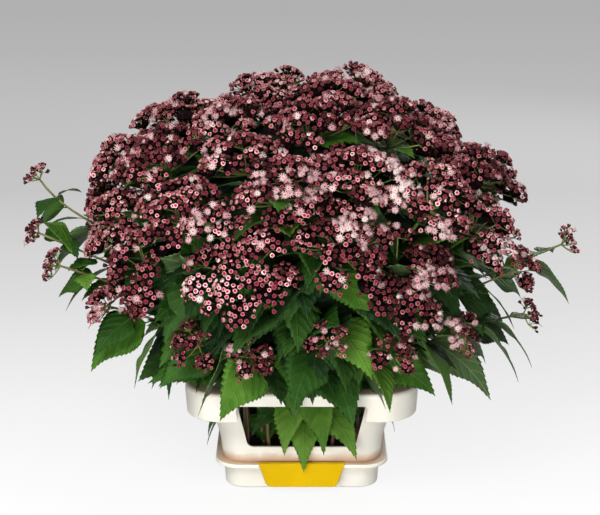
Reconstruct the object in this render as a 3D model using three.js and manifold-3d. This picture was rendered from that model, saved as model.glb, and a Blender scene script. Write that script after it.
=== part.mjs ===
// A potted lucky pink eupatorium, in millimetres, +Z up.
// A square white collar with a window in each side stands on a low tray of soil. Eight plants are rooted in
// the soil. Each forks into two shoots, and the shoots branch to flower heads that close into one wide dome.
// The origin is the centre of the tray's flat underside, and the side that the photograph shows faces -Y.
import * as THREE from "three";
import { mergeVertices } from "three/addons/utils/BufferGeometryUtils.js";
import Module from "manifold-3d";

const wasm = await Module();
wasm.setup();

// Driving dimensions of the pot. Its levels are rounded squares, so widths are given as half widths.
const GAP = 0.3;
const TRAY_HEIGHT = 36;
const TRAY_HALF = 97;
const TRAY_WALL = 3;
const TRAY_TAPER = 2;
const LEDGE_HALF = 107;
const LEDGE_THICK = 5;
const COLLAR_FOOT_HALF = 98;
const COLLAR_WAIST_HALF = 101;
const COLLAR_WAIST_HEIGHT = 66;
const COLLAR_TOP_HALF = 121;
const COLLAR_WALL = 3;
const LIP_HALF = 142;
const LIP_HEIGHT = 142;
const LIP_SKIRT = 36;
const LIP_DRAFT = 2;
const FOOT_CORNER = 26;
const LIP_CORNER = 46;
const CORNER_STEPS = 3;
const WINDOW_LOW = 57;
const WINDOW_HIGH = 127;
const WINDOW_LOW_HALF = 66;
const WINDOW_HIGH_HALF = 80;
const WINDOW_CORNER = 8;
const SLOT_LENGTH = 13;
const SLOT_WIDTH = 6;
const SLOT_PLACES = [-62, 0, 46];
const SLOT_INSET = 10;
const LABEL_HALF = 53;
const LABEL_FOOT_HALF = 45;
const LABEL_HEIGHT = 31;
const LABEL_THICK = 2;
const LABEL_HOOK = 5;
const SOIL_HEIGHT = 46;
const SOIL_CROWN = 4;
const SOIL_FALL = 1;
const SOIL_SLOPE = 33;
const HOLE_CLEARANCE = 0.8;
const HOLE_SIDES = 8;

// Driving dimensions of the plants. Bearings are degrees round +Z from +X, and reaches are from the Z axis.
const PLANTS = 8;
const SECTOR = 360 / PLANTS;
const SECTOR_GAP = 0.5;
const RIM = 0.004;
const ROOT_REACH = 48;
const ROOT_LOW = 20;
const FORK_HEIGHT = 64;
const TRUNK_RADIUS = 4.6;
const SHOOT_RADIUS = 3.4;
const BRANCH_RADIUS = 2.5;
const TWIG_RADIUS = 1.8;

// A shoot's control points above the fork: turn from the plant's bearing to the shoot's own side, reach and
// height.
const SHOOT_POINTS = [
  [8, 54, 110],
  [12, 72, 178],
  [12, 100, 262],
];
const FORK_SINK = 2;

// A branch leaves its shoot higher for a higher head: the head heights and the shares of the shoot that they
// answer to, the branch's lift where it leaves, and its bow at both ends as shares of its length.
const BRANCH_HEADS = [150, 410];
const BRANCH_SHARES = [0.45, 0.97];
const BRANCH_LIFT = 0.15;
const BRANCH_BOWS = [0.35, 0.3];

// The dome on which the flower heads sit, an ellipsoid a little wider than it is deep.
const DOME_WIDE = 240;
const DOME_DEEP = 222;
const DOME_TALL = 138;
const DOME_CENTRE = 326;
const DOME_EDGE = 105;
const DOME_HEADS = 34;
const DOME_HEAD_RADIUS = 57;
const HEAD_LIFT = 0.55;
const DOME_LEVELS = [6, -14, -2];
const GOLDEN_ANGLE = 137.50776;
const SECTOR_MARGIN = 5;
const HEAD_TURN_SCATTER = 3;
const HEAD_LEVEL_SCATTER = 4;
const HEAD_SIZES = [0.84, 1.1];

// Smaller heads below the dome's edge and out at its sides, each as bearing, reach, height, radius and the
// rise of its axis.
const SMALL_HEADS = [
  [180, 326, 376, 18, 1.6],
  [187, 328, 316, 17, 0.5],
  [194, 306, 284, 21, 0.4],
  [206, 262, 246, 27, 0.4],
  [236, 222, 222, 28, 0.4],
  [254, 206, 212, 26, 0.4],
  [278, 204, 232, 24, 0.5],
  [300, 216, 214, 28, 0.4],
  [322, 238, 222, 26, 0.3],
  [349, 284, 216, 20, 0.3],
  [346, 272, 276, 29, 0.5],
  [2, 332, 286, 20, 0.4],
  [62, 214, 214, 28, 0.4],
  [124, 214, 214, 28, 0.4],
];

// A head is a lobed dome of buds: its height, drop of the underside, lobes and buds as shares of its radius.
const HEAD_RISE = 0.44;
const HEAD_DROP = 0.34;
const LOBES = 6;
const LOBE_REACH = 0.64;
const LOBE_SIZE = 0.42;
const LOBE_RISE = 0.16;
const LOBE_OUTLINE = 0.09;
const BUD_RISE = 0.6;
const DOME_HEAD_RINGS = 4;
const SMALL_HEAD_RINGS = 3;
const HEADS_APART = 1.3;
const SPACE_TOP = 0.8;
const SPACE_SHOULDER = [0.8, 0.55];
const SPACE_SIDES = 10;
const BETWEEN_HEADS = 0.4;

// Each plant's dense inner foliage is a smaller core, which the stems and outer leaves stand out of: height
// and reach of its levels, and how far its surface is rough, as a share of the reach. The ripple's phase
// grows with the level, the column and the plant by these radians.
const CORE_LEVELS = [
  [158, 92],
  [196, 126],
  [244, 150],
  [296, 164],
  [344, 158],
  [384, 126],
  [410, 64],
];
const CORE_COLUMNS = 4;
const CORE_HEART = 14;
const CORE_ROUGH = 0.1;
const CORE_RIPPLE = [7, 11, 5];
const CORE_OVERLAP = 1;

// Leaves stand out of the core in rows, two and one by turns: how many rows, the heights of the lowest and
// the highest, bearing of the pair from the plant's own, and length, pitch and bend from the lowest row to
// the highest. In turn they point aside by these degrees.
const LEAF_ROWS = 6;
const LEAF_ROW_HEIGHTS = [166, 346];
const LEAF_ROW_TURN = 12;
const LEAF_ROW_LENGTHS = [132, 96];
const LEAF_ROW_PITCHES = [12, -28];
const LEAF_ROW_BENDS = [68, 42];
const LEAF_ROW_SCATTER = 4;
const LEAF_ROW_SHIFT = 6;
const LEAF_ROW_ASIDE = [34, -22, 26, -36, 12];
const LEAF_ROOT = 14;

// Broad leaves over the lip at the front: plant, bearing and height of the root, bearing of the leaf,
// length, pitch and bend.
const LIP_LEAVES = [
  [5, 234, 164, 196, 146, 8, 44],
  [5, 240, 170, 240, 124, 22, 100],
  [6, 264, 172, 272, 92, 26, 104],
  [7, 296, 168, 334, 112, 16, 64],
  [7, 322, 170, 312, 118, 20, 92],
  [0, 343, 166, 341, 136, 8, 50],
];

// Leaves that hang out of the windows: side of the fork, share of the shoot, bearing from the plant's own,
// length, pitch and bend.
const WINDOW_LEAVES = [
  [-1, 0.22, -46, 104, 6, 84],
  [1, 0.13, 4, 94, 14, 104],
  [1, 0.21, 38, 108, 10, 96],
  [-1, 0.27, -18, 106, 10, 112],
  [1, 0.3, 22, 112, 8, 108],
];
const SIDE_WINDOW_LEAVES = 3;
const WINDOW_LEAF_SLENDER = 0.4;
const FRONT_PLANT = 6;

// Leaves on the branches that reach out of the dome: share of the branch, bearing from the head's, length,
// pitch and bend.
const SPRAY_LEAVES = [
  [0.62, 34, 92, 0, 58],
  [0.8, -36, 78, -8, 52],
];
const SPRAY_REACH = 255;

// Leaves that hang from the low branches over the lip, given in the same way, and the highest head of a low
// branch. The front plant has only the last, so that the window stays in view.
const SKIRT_LEAVES = [
  [0.4, -62, 112, -2, 60],
  [0.52, 56, 118, -4, 66],
  [0.7, -34, 96, -8, 64],
];
const SKIRT_BELOW = 250;

// A leaf that points aside twists about its rib, so that its top faces outward.
const LEAF_TWIST = 70;

// How far leaves differ by chance in degrees, and in length. Each further try is looser, turns a leaf towards
// its plant's own bearing, lifts it by a degree and bends it less.
const LEAF_SCATTER = { bearing: 5, pitch: 6, bend: 8, roll: 12 };
const LEAF_SIZES = [0.82, 1.1];
const LEAF_TRIES = 30;
const TRY_LOOSER = 1 / 3;
const TRY_INWARD = 0.06;
const TRY_STRAIGHTER = 0.03;

// How near a leaf may come to the pot: to the lip's top and side, and the reach of the wall at a window.
const OVER_LIP = 4;
const BESIDE_LIP = 3;
const WINDOW_WALL = [COLLAR_FOOT_HALF - 6, LEDGE_HALF + 4];
const WINDOW_SILL = 4;

// A leaf's width as a share of its length, how thick its rib is, and how far its halves fold up, as a share
// of the half width.
const LEAF_SLENDER = 0.56;
const LEAF_THICK = 1.6;
const LEAF_FOLD = 0.16;

// The leaf's edge as shares of the length and of the half width: a stalk, a broad shoulder that ends in a
// tooth, a second tooth and a long tip. The rib's stations are shares of the length.
const LEAF_EDGE = [
  [0.13, 0.06],
  [0.34, 1],
  [0.43, 0.72],
  [0.62, 0.56],
];
const LEAF_RIB = [0.14, 0.5];

const radians = THREE.MathUtils.degToRad;
const UP = new THREE.Vector3(0, 0, 1);

// One stream of repeatable numbers from 0 to 1.
let state = 20483;
function random() {
  state = (state * 1664525 + 1013904223) % 4294967296;
  return state / 4294967296;
}

function between(low, high) {
  return low + (high - low) * random();
}

function scatter(most) {
  return between(-most, most);
}

function polar(bearing, reach, height) {
  const turn = radians(bearing);
  return new THREE.Vector3(reach * Math.cos(turn), reach * Math.sin(turn), height);
}

function bearingOf(point) {
  return THREE.MathUtils.radToDeg(Math.atan2(point.y, point.x));
}

// The difference between two bearings, from -180 to 180.
function turnBetween(from, to) {
  return THREE.MathUtils.euclideanModulo(to - from + 180, 360) - 180;
}

// Solids and meshes.

function bufferOf(points, triangles) {
  const geometry = new THREE.BufferGeometry().setFromPoints(points);
  geometry.setIndex(triangles);
  return geometry;
}

function solidOf(geometry) {
  const bare = geometry.index ? geometry.toNonIndexed() : geometry.clone();
  bare.deleteAttribute("normal");
  bare.deleteAttribute("uv");
  const merged = mergeVertices(bare, 1e-4);
  return new wasm.Manifold(
    new wasm.Mesh({
      numProp: 3,
      vertProperties: merged.attributes.position.array,
      triVerts: new Uint32Array(merged.index.array),
    }),
  );
}

function geometryOf(solid) {
  const mesh = solid.getMesh();
  const geometry = new THREE.BufferGeometry();
  geometry.setAttribute("position", new THREE.BufferAttribute(mesh.vertProperties, 3));
  geometry.setIndex(new THREE.BufferAttribute(mesh.triVerts, 1));
  const flat = geometry.toNonIndexed();
  flat.computeVertexNormals();
  return flat;
}

// The solid's largest piece, so that a scrap cut loose from a leaf is dropped.
function largestPiece(solid) {
  const pieces = solid.decompose();
  return pieces.reduce((a, b) => (b.volume() > a.volume() ? b : a));
}

// A closed body through rings of points. Open ends are capped round each end ring's middle.
function loft(rings, endless = false) {
  const around = rings[0].length;
  const points = rings.flat();
  const triangles = [];
  const last = rings.length - 1;
  for (let level = 0; level < (endless ? rings.length : last); level++) {
    const low = level * around;
    const high = ((level + 1) % rings.length) * around;
    for (let i = 0; i < around; i++) {
      const next = (i + 1) % around;
      triangles.push(low + i, low + next, high + next, low + i, high + next, high + i);
    }
  }
  if (!endless) {
    const middle = (ring) =>
      ring.reduce((sum, p) => sum.add(p), new THREE.Vector3()).divideScalar(around);
    const foot = points.push(middle(rings[0])) - 1;
    const top = points.push(middle(rings[last])) - 1;
    for (let i = 0; i < around; i++) {
      const next = (i + 1) % around;
      triangles.push(foot, next, i, top, last * around + i, last * around + next);
    }
  }
  return bufferOf(points, triangles);
}

// One level of the pot: a square with round corners.
function squareRing(half, height, corner) {
  const ring = [];
  for (let side = 0; side < 4; side++) {
    const diagonal = ((side + 0.5) * Math.PI) / 2;
    const reach = (half - corner) * Math.SQRT2;
    for (let step = 0; step <= CORNER_STEPS; step++) {
      const turn = ((side + step / CORNER_STEPS) * Math.PI) / 2;
      ring.push(
        new THREE.Vector3(
          reach * Math.cos(diagonal) + corner * Math.cos(turn),
          reach * Math.sin(diagonal) + corner * Math.sin(turn),
          height,
        ),
      );
    }
  }
  return ring;
}

// The corner radius grows evenly with the half width, from the foot to the lip.
function cornerAt(half) {
  const share = (half - COLLAR_FOOT_HALF) / (LIP_HALF - COLLAR_FOOT_HALF);
  return FOOT_CORNER + (LIP_CORNER - FOOT_CORNER) * share;
}

function potRings(profile) {
  return profile.map(([half, height]) => squareRing(half, height, cornerAt(half)));
}

// The pot.

function trayGeometry() {
  const outer = TRAY_HALF;
  const inner = outer - TRAY_WALL;
  const under = TRAY_HEIGHT - LEDGE_THICK;
  return loft(
    potRings([
      [outer - TRAY_TAPER, 0],
      [outer, under],
      [LEDGE_HALF, under],
      [LEDGE_HALF, TRAY_HEIGHT],
      [inner, TRAY_HEIGHT],
      [inner - TRAY_TAPER, TRAY_WALL],
    ]),
  );
}

function collarShell() {
  const foot = TRAY_HEIGHT + GAP;
  const skirt = LIP_HEIGHT - LIP_SKIRT;
  const roof = LIP_HEIGHT - COLLAR_WALL;
  return loft(
    potRings([
      [COLLAR_FOOT_HALF - COLLAR_WALL, foot],
      [COLLAR_FOOT_HALF, foot],
      [COLLAR_WAIST_HALF, COLLAR_WAIST_HEIGHT],
      [COLLAR_TOP_HALF, roof],
      [LIP_HALF - COLLAR_WALL, roof],
      [LIP_HALF - COLLAR_WALL - LIP_DRAFT, skirt],
      [LIP_HALF - LIP_DRAFT, skirt],
      [LIP_HALF, LIP_HEIGHT],
      [COLLAR_TOP_HALF - COLLAR_WALL, LIP_HEIGHT],
      [COLLAR_WAIST_HALF - COLLAR_WALL, COLLAR_WAIST_HEIGHT],
    ]),
    true,
  );
}

// A window's outline: a trapezoid with round corners, wider at the top.
function windowShape() {
  const corners = [
    [-WINDOW_LOW_HALF, WINDOW_LOW],
    [WINDOW_LOW_HALF, WINDOW_LOW],
    [WINDOW_HIGH_HALF, WINDOW_HIGH],
    [-WINDOW_HIGH_HALF, WINDOW_HIGH],
  ].map(([x, y]) => new THREE.Vector2(x, y));
  const shape = new THREE.Shape();
  corners.forEach((corner, i) => {
    const before = corners[(i + 3) % 4].clone().sub(corner).setLength(WINDOW_CORNER).add(corner);
    const after = corners[(i + 1) % 4].clone().sub(corner).setLength(WINDOW_CORNER).add(corner);
    if (i === 0) {
      shape.moveTo(before.x, before.y);
    } else {
      shape.lineTo(before.x, before.y);
    }
    shape.quadraticCurveTo(corner.x, corner.y, after.x, after.y);
  });
  shape.closePath();
  return shape;
}

function collarGeometry() {
  let collar = solidOf(collarShell());
  const opening = new THREE.ExtrudeGeometry(windowShape(), {
    depth: LIP_HALF,
    bevelEnabled: false,
    curveSegments: 3,
  });
  opening.rotateX(Math.PI / 2).translate(0, -LIP_HALF / 2, 0);
  const slot = new THREE.BoxGeometry(SLOT_LENGTH, SLOT_WIDTH, 3 * COLLAR_WALL);
  for (let side = 0; side < 4; side++) {
    const turn = (side * Math.PI) / 2;
    collar = collar.subtract(solidOf(opening.clone().rotateZ(turn)));
    for (const place of SLOT_PLACES) {
      const cut = slot.clone().translate(place, -(LIP_HALF - SLOT_INSET), LIP_HEIGHT);
      collar = collar.subtract(solidOf(cut.rotateZ(turn)));
    }
  }
  return geometryOf(collar);
}

// The label card hangs on the ledge by a hook along its top edge, and narrows towards its foot.
function labelGeometry() {
  const face = -(LEDGE_HALF + GAP);
  const top = TRAY_HEIGHT + GAP + LABEL_THICK;
  const under = TRAY_HEIGHT + GAP;
  const foot = top - LABEL_HEIGHT;
  const profile = [
    [face, foot, LABEL_FOOT_HALF],
    [face, under, LABEL_HALF],
    [face + LABEL_HOOK, under, LABEL_HALF],
    [face + LABEL_HOOK, top, LABEL_HALF],
    [face - LABEL_THICK, top, LABEL_HALF],
    [face - LABEL_THICK, foot, LABEL_FOOT_HALF],
  ];
  const points = [-1, 1].flatMap((side) =>
    profile.map(([y, z, half]) => new THREE.Vector3(side * half, y, z)),
  );
  const count = profile.length;
  const flat = THREE.ShapeUtils.triangulateShape(
    profile.map(([y, z]) => new THREE.Vector2(y, z)),
    [],
  );
  const triangles = flat.flatMap(([a, b, c]) => [a, c, b, a + count, b + count, c + count]);
  for (let i = 0; i < count; i++) {
    const next = (i + 1) % count;
    triangles.push(i, next, next + count, i, next + count, i + count);
  }
  return bufferOf(points, triangles);
}

function plantBearing(plant) {
  return plant * SECTOR;
}

// The soil fills the tray and the collar's foot, with a plain hole for each plant.
function soilGeometry() {
  const inner = TRAY_HALF - TRAY_WALL - GAP - SOIL_FALL;
  const high = SOIL_HEIGHT - SOIL_FALL;
  let soil = solidOf(
    loft(
      potRings([
        [inner - TRAY_TAPER, TRAY_WALL + GAP],
        [inner, TRAY_HEIGHT],
        [inner, high],
        [inner - SOIL_SLOPE, high + SOIL_CROWN],
      ]),
    ),
  );
  const wide = TRUNK_RADIUS + HOLE_CLEARANCE;
  const hole = new THREE.CylinderGeometry(wide, wide, SOIL_HEIGHT, HOLE_SIDES);
  hole.rotateX(Math.PI / 2);
  for (let plant = 0; plant < PLANTS; plant++) {
    const foot = polar(plantBearing(plant), ROOT_REACH, ROOT_LOW - GAP + SOIL_HEIGHT / 2);
    soil = soil.subtract(solidOf(hole.clone().translate(foot.x, foot.y, foot.z)));
  }
  return geometryOf(soil);
}

// Stands a shape made along +Z on a head's centre, along its axis.
function placed(geometry, head) {
  const turned = new THREE.Quaternion().setFromUnitVectors(UP, head.axis);
  return geometry
    .applyQuaternion(turned)
    .translate(head.centre.x, head.centre.y, head.centre.z);
}

// The plan of the flower heads. Each has a centre, an outward axis, a radius, a turn and the plant that
// carries it.

function domePoint(polarAngle, bearing) {
  const tilt = radians(polarAngle);
  const turn = radians(bearing);
  return new THREE.Vector3(
    DOME_WIDE * Math.sin(tilt) * Math.cos(turn),
    DOME_DEEP * Math.sin(tilt) * Math.sin(turn),
    DOME_CENTRE + DOME_TALL * Math.cos(tilt),
  );
}

function domeNormal(point) {
  return new THREE.Vector3(
    point.x / DOME_WIDE ** 2,
    point.y / DOME_DEEP ** 2,
    (point.z - DOME_CENTRE) / DOME_TALL ** 2,
  ).normalize();
}

// Polar angles that share the dome's area evenly among the heads.
function evenAngles(count, edge) {
  const steps = 400;
  const total = [0];
  for (let i = 0; i < steps; i++) {
    const tilt = radians((edge * (i + 0.5)) / steps);
    const slope = Math.hypot(DOME_WIDE * Math.cos(tilt), DOME_TALL * Math.sin(tilt));
    total.push(total[i] + Math.sin(tilt) * slope);
  }
  const angles = [];
  for (let i = 0, step = 0; i < count; i++) {
    const wanted = (total[steps] * (i + 0.5)) / count;
    while (total[step + 1] < wanted) step++;
    const share = (wanted - total[step]) / (total[step + 1] - total[step]);
    angles.push((edge * (step + share)) / steps);
  }
  return angles;
}

// Keeps a head's middle a little inside its plant's sector, so that its branch can reach it there.
function plantAndBearing(bearing, reach) {
  const plant = ((Math.round(bearing / SECTOR) % PLANTS) + PLANTS) % PLANTS;
  const most = SECTOR / 2 - THREE.MathUtils.radToDeg(Math.asin(Math.min(1, SECTOR_MARGIN / reach)));
  const offset = THREE.MathUtils.clamp(turnBetween(plantBearing(plant), bearing), -most, most);
  return [plant, plantBearing(plant) + offset];
}

function planHeads() {
  const heads = [];
  evenAngles(DOME_HEADS, DOME_EDGE).forEach((angle, i) => {
    const reach = DOME_DEEP * Math.sin(radians(angle));
    const [plant, bearing] = plantAndBearing(i * GOLDEN_ANGLE + scatter(HEAD_TURN_SCATTER), reach);
    const centre = domePoint(angle, bearing);
    const axis = domeNormal(centre).addScaledVector(UP, HEAD_LIFT).normalize();
    centre.addScaledVector(axis, DOME_LEVELS[i % 3] + scatter(HEAD_LEVEL_SCATTER));
    const radius = DOME_HEAD_RADIUS * between(...HEAD_SIZES);
    heads.push({ plant, centre, axis, radius, rings: DOME_HEAD_RINGS, turn: between(0, 360 / LOBES) });
  });
  for (const [toward, reach, height, radius, rise] of SMALL_HEADS) {
    const [plant, bearing] = plantAndBearing(toward, reach);
    const centre = polar(bearing, reach, height);
    const axis = polar(bearing, 1, rise).normalize();
    heads.push({ plant, centre, axis, radius, rings: SMALL_HEAD_RINGS, turn: between(0, 360 / LOBES) });
  }
  return heads;
}

// How far a head's buds reach from its axis at most.
function headRim(head) {
  return (1 + LOBE_OUTLINE + BUD_RISE / head.rings) * head.radius;
}

// The space kept for a head: a low cone with a shallow dome, a little larger than the head all round.
function headSpace(head) {
  const { radius } = head;
  const rim = headRim(head);
  const profile = [
    [0, -HEAD_DROP * radius - GAP],
    [rim, -GAP],
    [SPACE_SHOULDER[0] * rim, SPACE_SHOULDER[1] * radius],
    [0, SPACE_TOP * radius],
  ].map(([x, y]) => new THREE.Vector2(x, y));
  const space = new THREE.LatheGeometry(profile, SPACE_SIDES).rotateX(Math.PI / 2);
  return placed(space, head);
}

// A head's own surface, in its own frame with +Z outward. Lobes stand round a middle one.
function lobeCentres(head) {
  const centres = [new THREE.Vector2(0, 0)];
  for (let i = 0; i < LOBES; i++) {
    const turn = radians((i * 360) / LOBES + head.turn);
    const reach = LOBE_REACH * head.radius;
    centres.push(new THREE.Vector2(reach * Math.cos(turn), reach * Math.sin(turn)));
  }
  return centres;
}

function headPoint(head, share, turn, lift) {
  const { radius } = head;
  const outline = 1 + LOBE_OUTLINE * share * Math.cos(LOBES * (turn - radians(head.turn)));
  const reach = share * radius * outline;
  const flat = new THREE.Vector2(reach * Math.cos(turn), reach * Math.sin(turn));
  const nearest = Math.min(...lobeCentres(head).map((c) => c.distanceTo(flat)));
  const lobe = Math.max(0, 1 - (nearest / (LOBE_SIZE * radius)) ** 2);
  const height = radius * (HEAD_RISE * (1 - share * share) + LOBE_RISE * lobe);
  const normal = new THREE.Vector3(
    2 * HEAD_RISE * share * Math.cos(turn),
    2 * HEAD_RISE * share * Math.sin(turn),
    1,
  ).normalize();
  return new THREE.Vector3(flat.x, flat.y, height).addScaledVector(normal, lift);
}

// The head's buds: rings of points in sixths, of which every third is raised into a bud.
function headGeometry(head) {
  const { rings, radius } = head;
  const budRise = (BUD_RISE * radius) / rings;
  const points = [headPoint(head, 0, 0, budRise)];
  const start = [0];
  for (let ring = 1; ring <= rings; ring++) {
    start.push(points.length);
    for (let i = 0; i < 6 * ring; i++) {
      const raised = (ring + (i % ring)) % 3 === 0;
      const turn = (i / ring) * (Math.PI / 3);
      points.push(headPoint(head, ring / rings, turn, raised ? budRise : 0));
    }
  }
  const triangles = [];
  for (let ring = 1; ring <= rings; ring++) {
    const outer = (i) => start[ring] + (i % (6 * ring));
    const inner = (i) => (ring === 1 ? 0 : start[ring - 1] + (i % (6 * (ring - 1))));
    for (let side = 0; side < 6; side++) {
      for (let j = 0; j < ring; j++) {
        const out = side * ring + j;
        const within = side * (ring - 1) + j;
        triangles.push(outer(out), outer(out + 1), inner(within));
        if (j < ring - 1) triangles.push(outer(out + 1), inner(within + 1), inner(within));
      }
    }
  }
  const apex = points.push(new THREE.Vector3(0, 0, -HEAD_DROP * radius)) - 1;
  for (let i = 0; i < 6 * rings; i++) {
    triangles.push(start[rings] + ((i + 1) % (6 * rings)), start[rings] + i, apex);
  }
  return placed(bufferOf(points, triangles), head);
}

function headApex(head) {
  return head.centre.clone().addScaledVector(head.axis, -HEAD_DROP * head.radius);
}

// Where two heads meet, each is cut back by the plane halfway between their centres.
function headSolids(heads) {
  const solids = heads.map((head) => solidOf(headGeometry(head)));
  heads.forEach((a, i) => {
    heads.forEach((b, j) => {
      const apart = b.centre.clone().sub(a.centre);
      if (i === j || apart.length() > HEADS_APART * (a.radius + b.radius)) return;
      if (solidOf(headGeometry(a)).intersect(solidOf(headGeometry(b))).volume() <= 0) return;
      const facing = apart.clone().normalize();
      const share = a.radius / (a.radius + b.radius);
      const edge = facing.dot(a.centre) + share * apart.length() - BETWEEN_HEADS / 2;
      solids[i] = solids[i].trimByPlane(facing.clone().negate().toArray(), -edge);
    });
  });
  return solids;
}

// Stems. A tube follows points with a radius at each, and thins towards its end.
function tubeGeometry({ curve, steps, thick, thin, sides }) {
  const rings = [];
  let side = new THREE.Vector3(1, 0, 0);
  for (let step = 0; step <= steps; step++) {
    const share = step / steps;
    const tangent = curve.getTangent(share);
    side = side.addScaledVector(tangent, -side.dot(tangent)).normalize();
    const other = new THREE.Vector3().crossVectors(tangent, side);
    const centre = curve.getPoint(share);
    const radius = thick + (thin - thick) * share;
    rings.push(
      Array.from({ length: sides }, (_, i) => {
        const turn = (i / sides) * 2 * Math.PI;
        return centre
          .clone()
          .addScaledVector(side, radius * Math.cos(turn))
          .addScaledVector(other, radius * Math.sin(turn));
      }),
    );
  }
  return loft(rings);
}

function trunkCurve(plant) {
  const bearing = plantBearing(plant);
  return new THREE.LineCurve3(
    polar(bearing, ROOT_REACH, ROOT_LOW),
    polar(bearing, ROOT_REACH, FORK_HEIGHT + 2 * FORK_SINK),
  );
}

function shootCurve(plant, side) {
  const bearing = plantBearing(plant);
  return new THREE.CubicBezierCurve3(
    polar(bearing, ROOT_REACH, FORK_HEIGHT - FORK_SINK),
    ...SHOOT_POINTS.map(([turn, reach, height]) => polar(bearing + side * turn, reach, height)),
  );
}

// The side of the fork that carries a head, and the curve of its branch. Low heads leave the shoot lower.
function headSide(head) {
  return turnBetween(plantBearing(head.plant), bearingOf(head.centre)) < 0 ? -1 : 1;
}

function branchCurve(head) {
  const shoot = shootCurve(head.plant, headSide(head));
  const rise = THREE.MathUtils.inverseLerp(...BRANCH_HEADS, head.centre.z);
  const share = THREE.MathUtils.clamp(rise, ...BRANCH_SHARES);
  const from = shoot.getPoint(share);
  const apex = headApex(head);
  const length = from.distanceTo(apex);
  const away = apex.clone().sub(from).normalize().addScaledVector(UP, BRANCH_LIFT).normalize();
  return new THREE.CubicBezierCurve3(
    from,
    from.clone().addScaledVector(away, BRANCH_BOWS[0] * length),
    apex.clone().addScaledVector(head.axis, -BRANCH_BOWS[1] * length),
    apex.clone().addScaledVector(head.axis, -GAP),
  );
}

// Leaves. A leaf bends evenly from its first pitch along one bearing.
function leafFrame(leaf, share) {
  const bend = radians(leaf.bend);
  const first = radians(leaf.pitch);
  const pitch = first - bend * share;
  const out = (leaf.length * (Math.sin(first) - Math.sin(pitch))) / bend;
  const rise = (leaf.length * (Math.cos(pitch) - Math.cos(first))) / bend;
  const place = polar(leaf.bearing, out, rise).add(leaf.root);
  const along = polar(leaf.bearing, Math.cos(pitch), Math.sin(pitch));
  const level = polar(leaf.bearing + 90, 1, 0);
  const roll = radians(leaf.roll);
  const over = new THREE.Vector3().crossVectors(along, level);
  const side = level.clone().multiplyScalar(Math.cos(roll)).addScaledVector(over, Math.sin(roll));
  return { place, side, over: new THREE.Vector3().crossVectors(along, side) };
}

function leafPoint(leaf, share, across, lift) {
  const { place, side, over } = leafFrame(leaf, share);
  const slender = leaf.throughWindow ? WINDOW_LEAF_SLENDER : LEAF_SLENDER;
  const half = 0.5 * slender * leaf.length * across;
  return place
    .addScaledVector(side, half)
    .addScaledVector(over, LEAF_FOLD * Math.abs(half) + lift);
}

// The strip of triangles between the rib and one edge of the leaf, in order of their shares.
function leafStrip(rib, edge, flip) {
  const triangles = [];
  let i = 0;
  let j = 0;
  while (i < rib.length - 1 || j < edge.length - 1) {
    const stepRib = j === edge.length - 1 || (i < rib.length - 1 && rib[i + 1][0] < edge[j + 1][0]);
    const third = stepRib ? rib[i + 1][1] : edge[j + 1][1];
    const triangle = [rib[i][1], third, edge[j][1]];
    if (new Set(triangle).size === 3) triangles.push(flip ? triangle.toReversed() : triangle);
    if (stepRib) i++;
    else j++;
  }
  return triangles;
}

// A leaf's points, with the triangles of its top and of its underside.
function leafMesh(leaf) {
  const points = [leafPoint(leaf, 0, 0, 0), leafPoint(leaf, 1, 0, 0)];
  const chain = (stations) => {
    const middle = stations.map(([share, across, lift]) => [
      share,
      points.push(leafPoint(leaf, share, across, lift)) - 1,
    ]);
    return [[0, 0], ...middle, [1, 1]];
  };
  const left = chain(LEAF_EDGE.map(([share, across]) => [share, across, 0]));
  const right = chain(LEAF_EDGE.map(([share, across]) => [share, -across, 0]));
  const top = chain(LEAF_RIB.map((share) => [share, 0, LEAF_THICK / 2]));
  const bottom = chain(LEAF_RIB.map((share) => [share, 0, -LEAF_THICK / 2]));
  return {
    points,
    upper: [...leafStrip(top, left, false), ...leafStrip(top, right, true)],
    lower: [...leafStrip(bottom, left, true), ...leafStrip(bottom, right, false)],
  };
}

function leafGeometry(leaf) {
  const { points, upper, lower } = leafMesh(leaf);
  return bufferOf(points, [...upper, ...lower].flat());
}

// Whether the line from one point to another passes through a triangle, its rim left out.
function passesThrough([from, to], [a, b, c]) {
  const along = to.clone().sub(from);
  const first = b.clone().sub(a);
  const second = c.clone().sub(a);
  const across = new THREE.Vector3().crossVectors(along, second);
  const scale = first.dot(across);
  if (Math.abs(scale) < RIM) return false;
  const offset = from.clone().sub(a);
  const turned = new THREE.Vector3().crossVectors(offset, first);
  const u = offset.dot(across) / scale;
  const v = along.dot(turned) / scale;
  const t = second.dot(turned) / scale;
  return Math.min(u, v, 1 - u - v, t, 1 - t) > RIM;
}

// What a leaf must keep clear of is counted: other stems and leaves of its plant, all heads and the pot. Its
// rib must stay in its plant's sector.
function leafHits(leaf, plant, stems, leaves, heads) {
  const { points, upper } = leafMesh(leaf);
  const faces = upper.map((corners) => corners.map((i) => points[i]));
  const edges = faces.flatMap(([a, b, c]) => [[a, b], [b, c], [c, a]]);
  const meets = (lines, triangles) =>
    lines.some((line) => triangles.some((face) => passesThrough(line, face)));
  const stemHits = stems[plant].filter((stem) => stem !== leaf.stem && meets(stem.lines, faces));
  const leafHits = leaves[plant].filter(
    (other) => meets(other.edges, faces) || meets(edges, other.faces),
  );
  const headHits = heads.filter((head) => points.some((point) => insideHead(head, point)));
  const strays = points.filter((point) => !clearOfPot(point, leaf));
  const ribs = LEAF_RIB.map((share) => leafPoint(leaf, share, 0, 0));
  const over = ribs.concat(points[1]).filter((point) => !leaf.throughWindow && !inSector(point, plant));
  Object.assign(leaf, { faces, edges });
  return stemHits.length + leafHits.length + headHits.length + strays.length + over.length;
}

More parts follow.
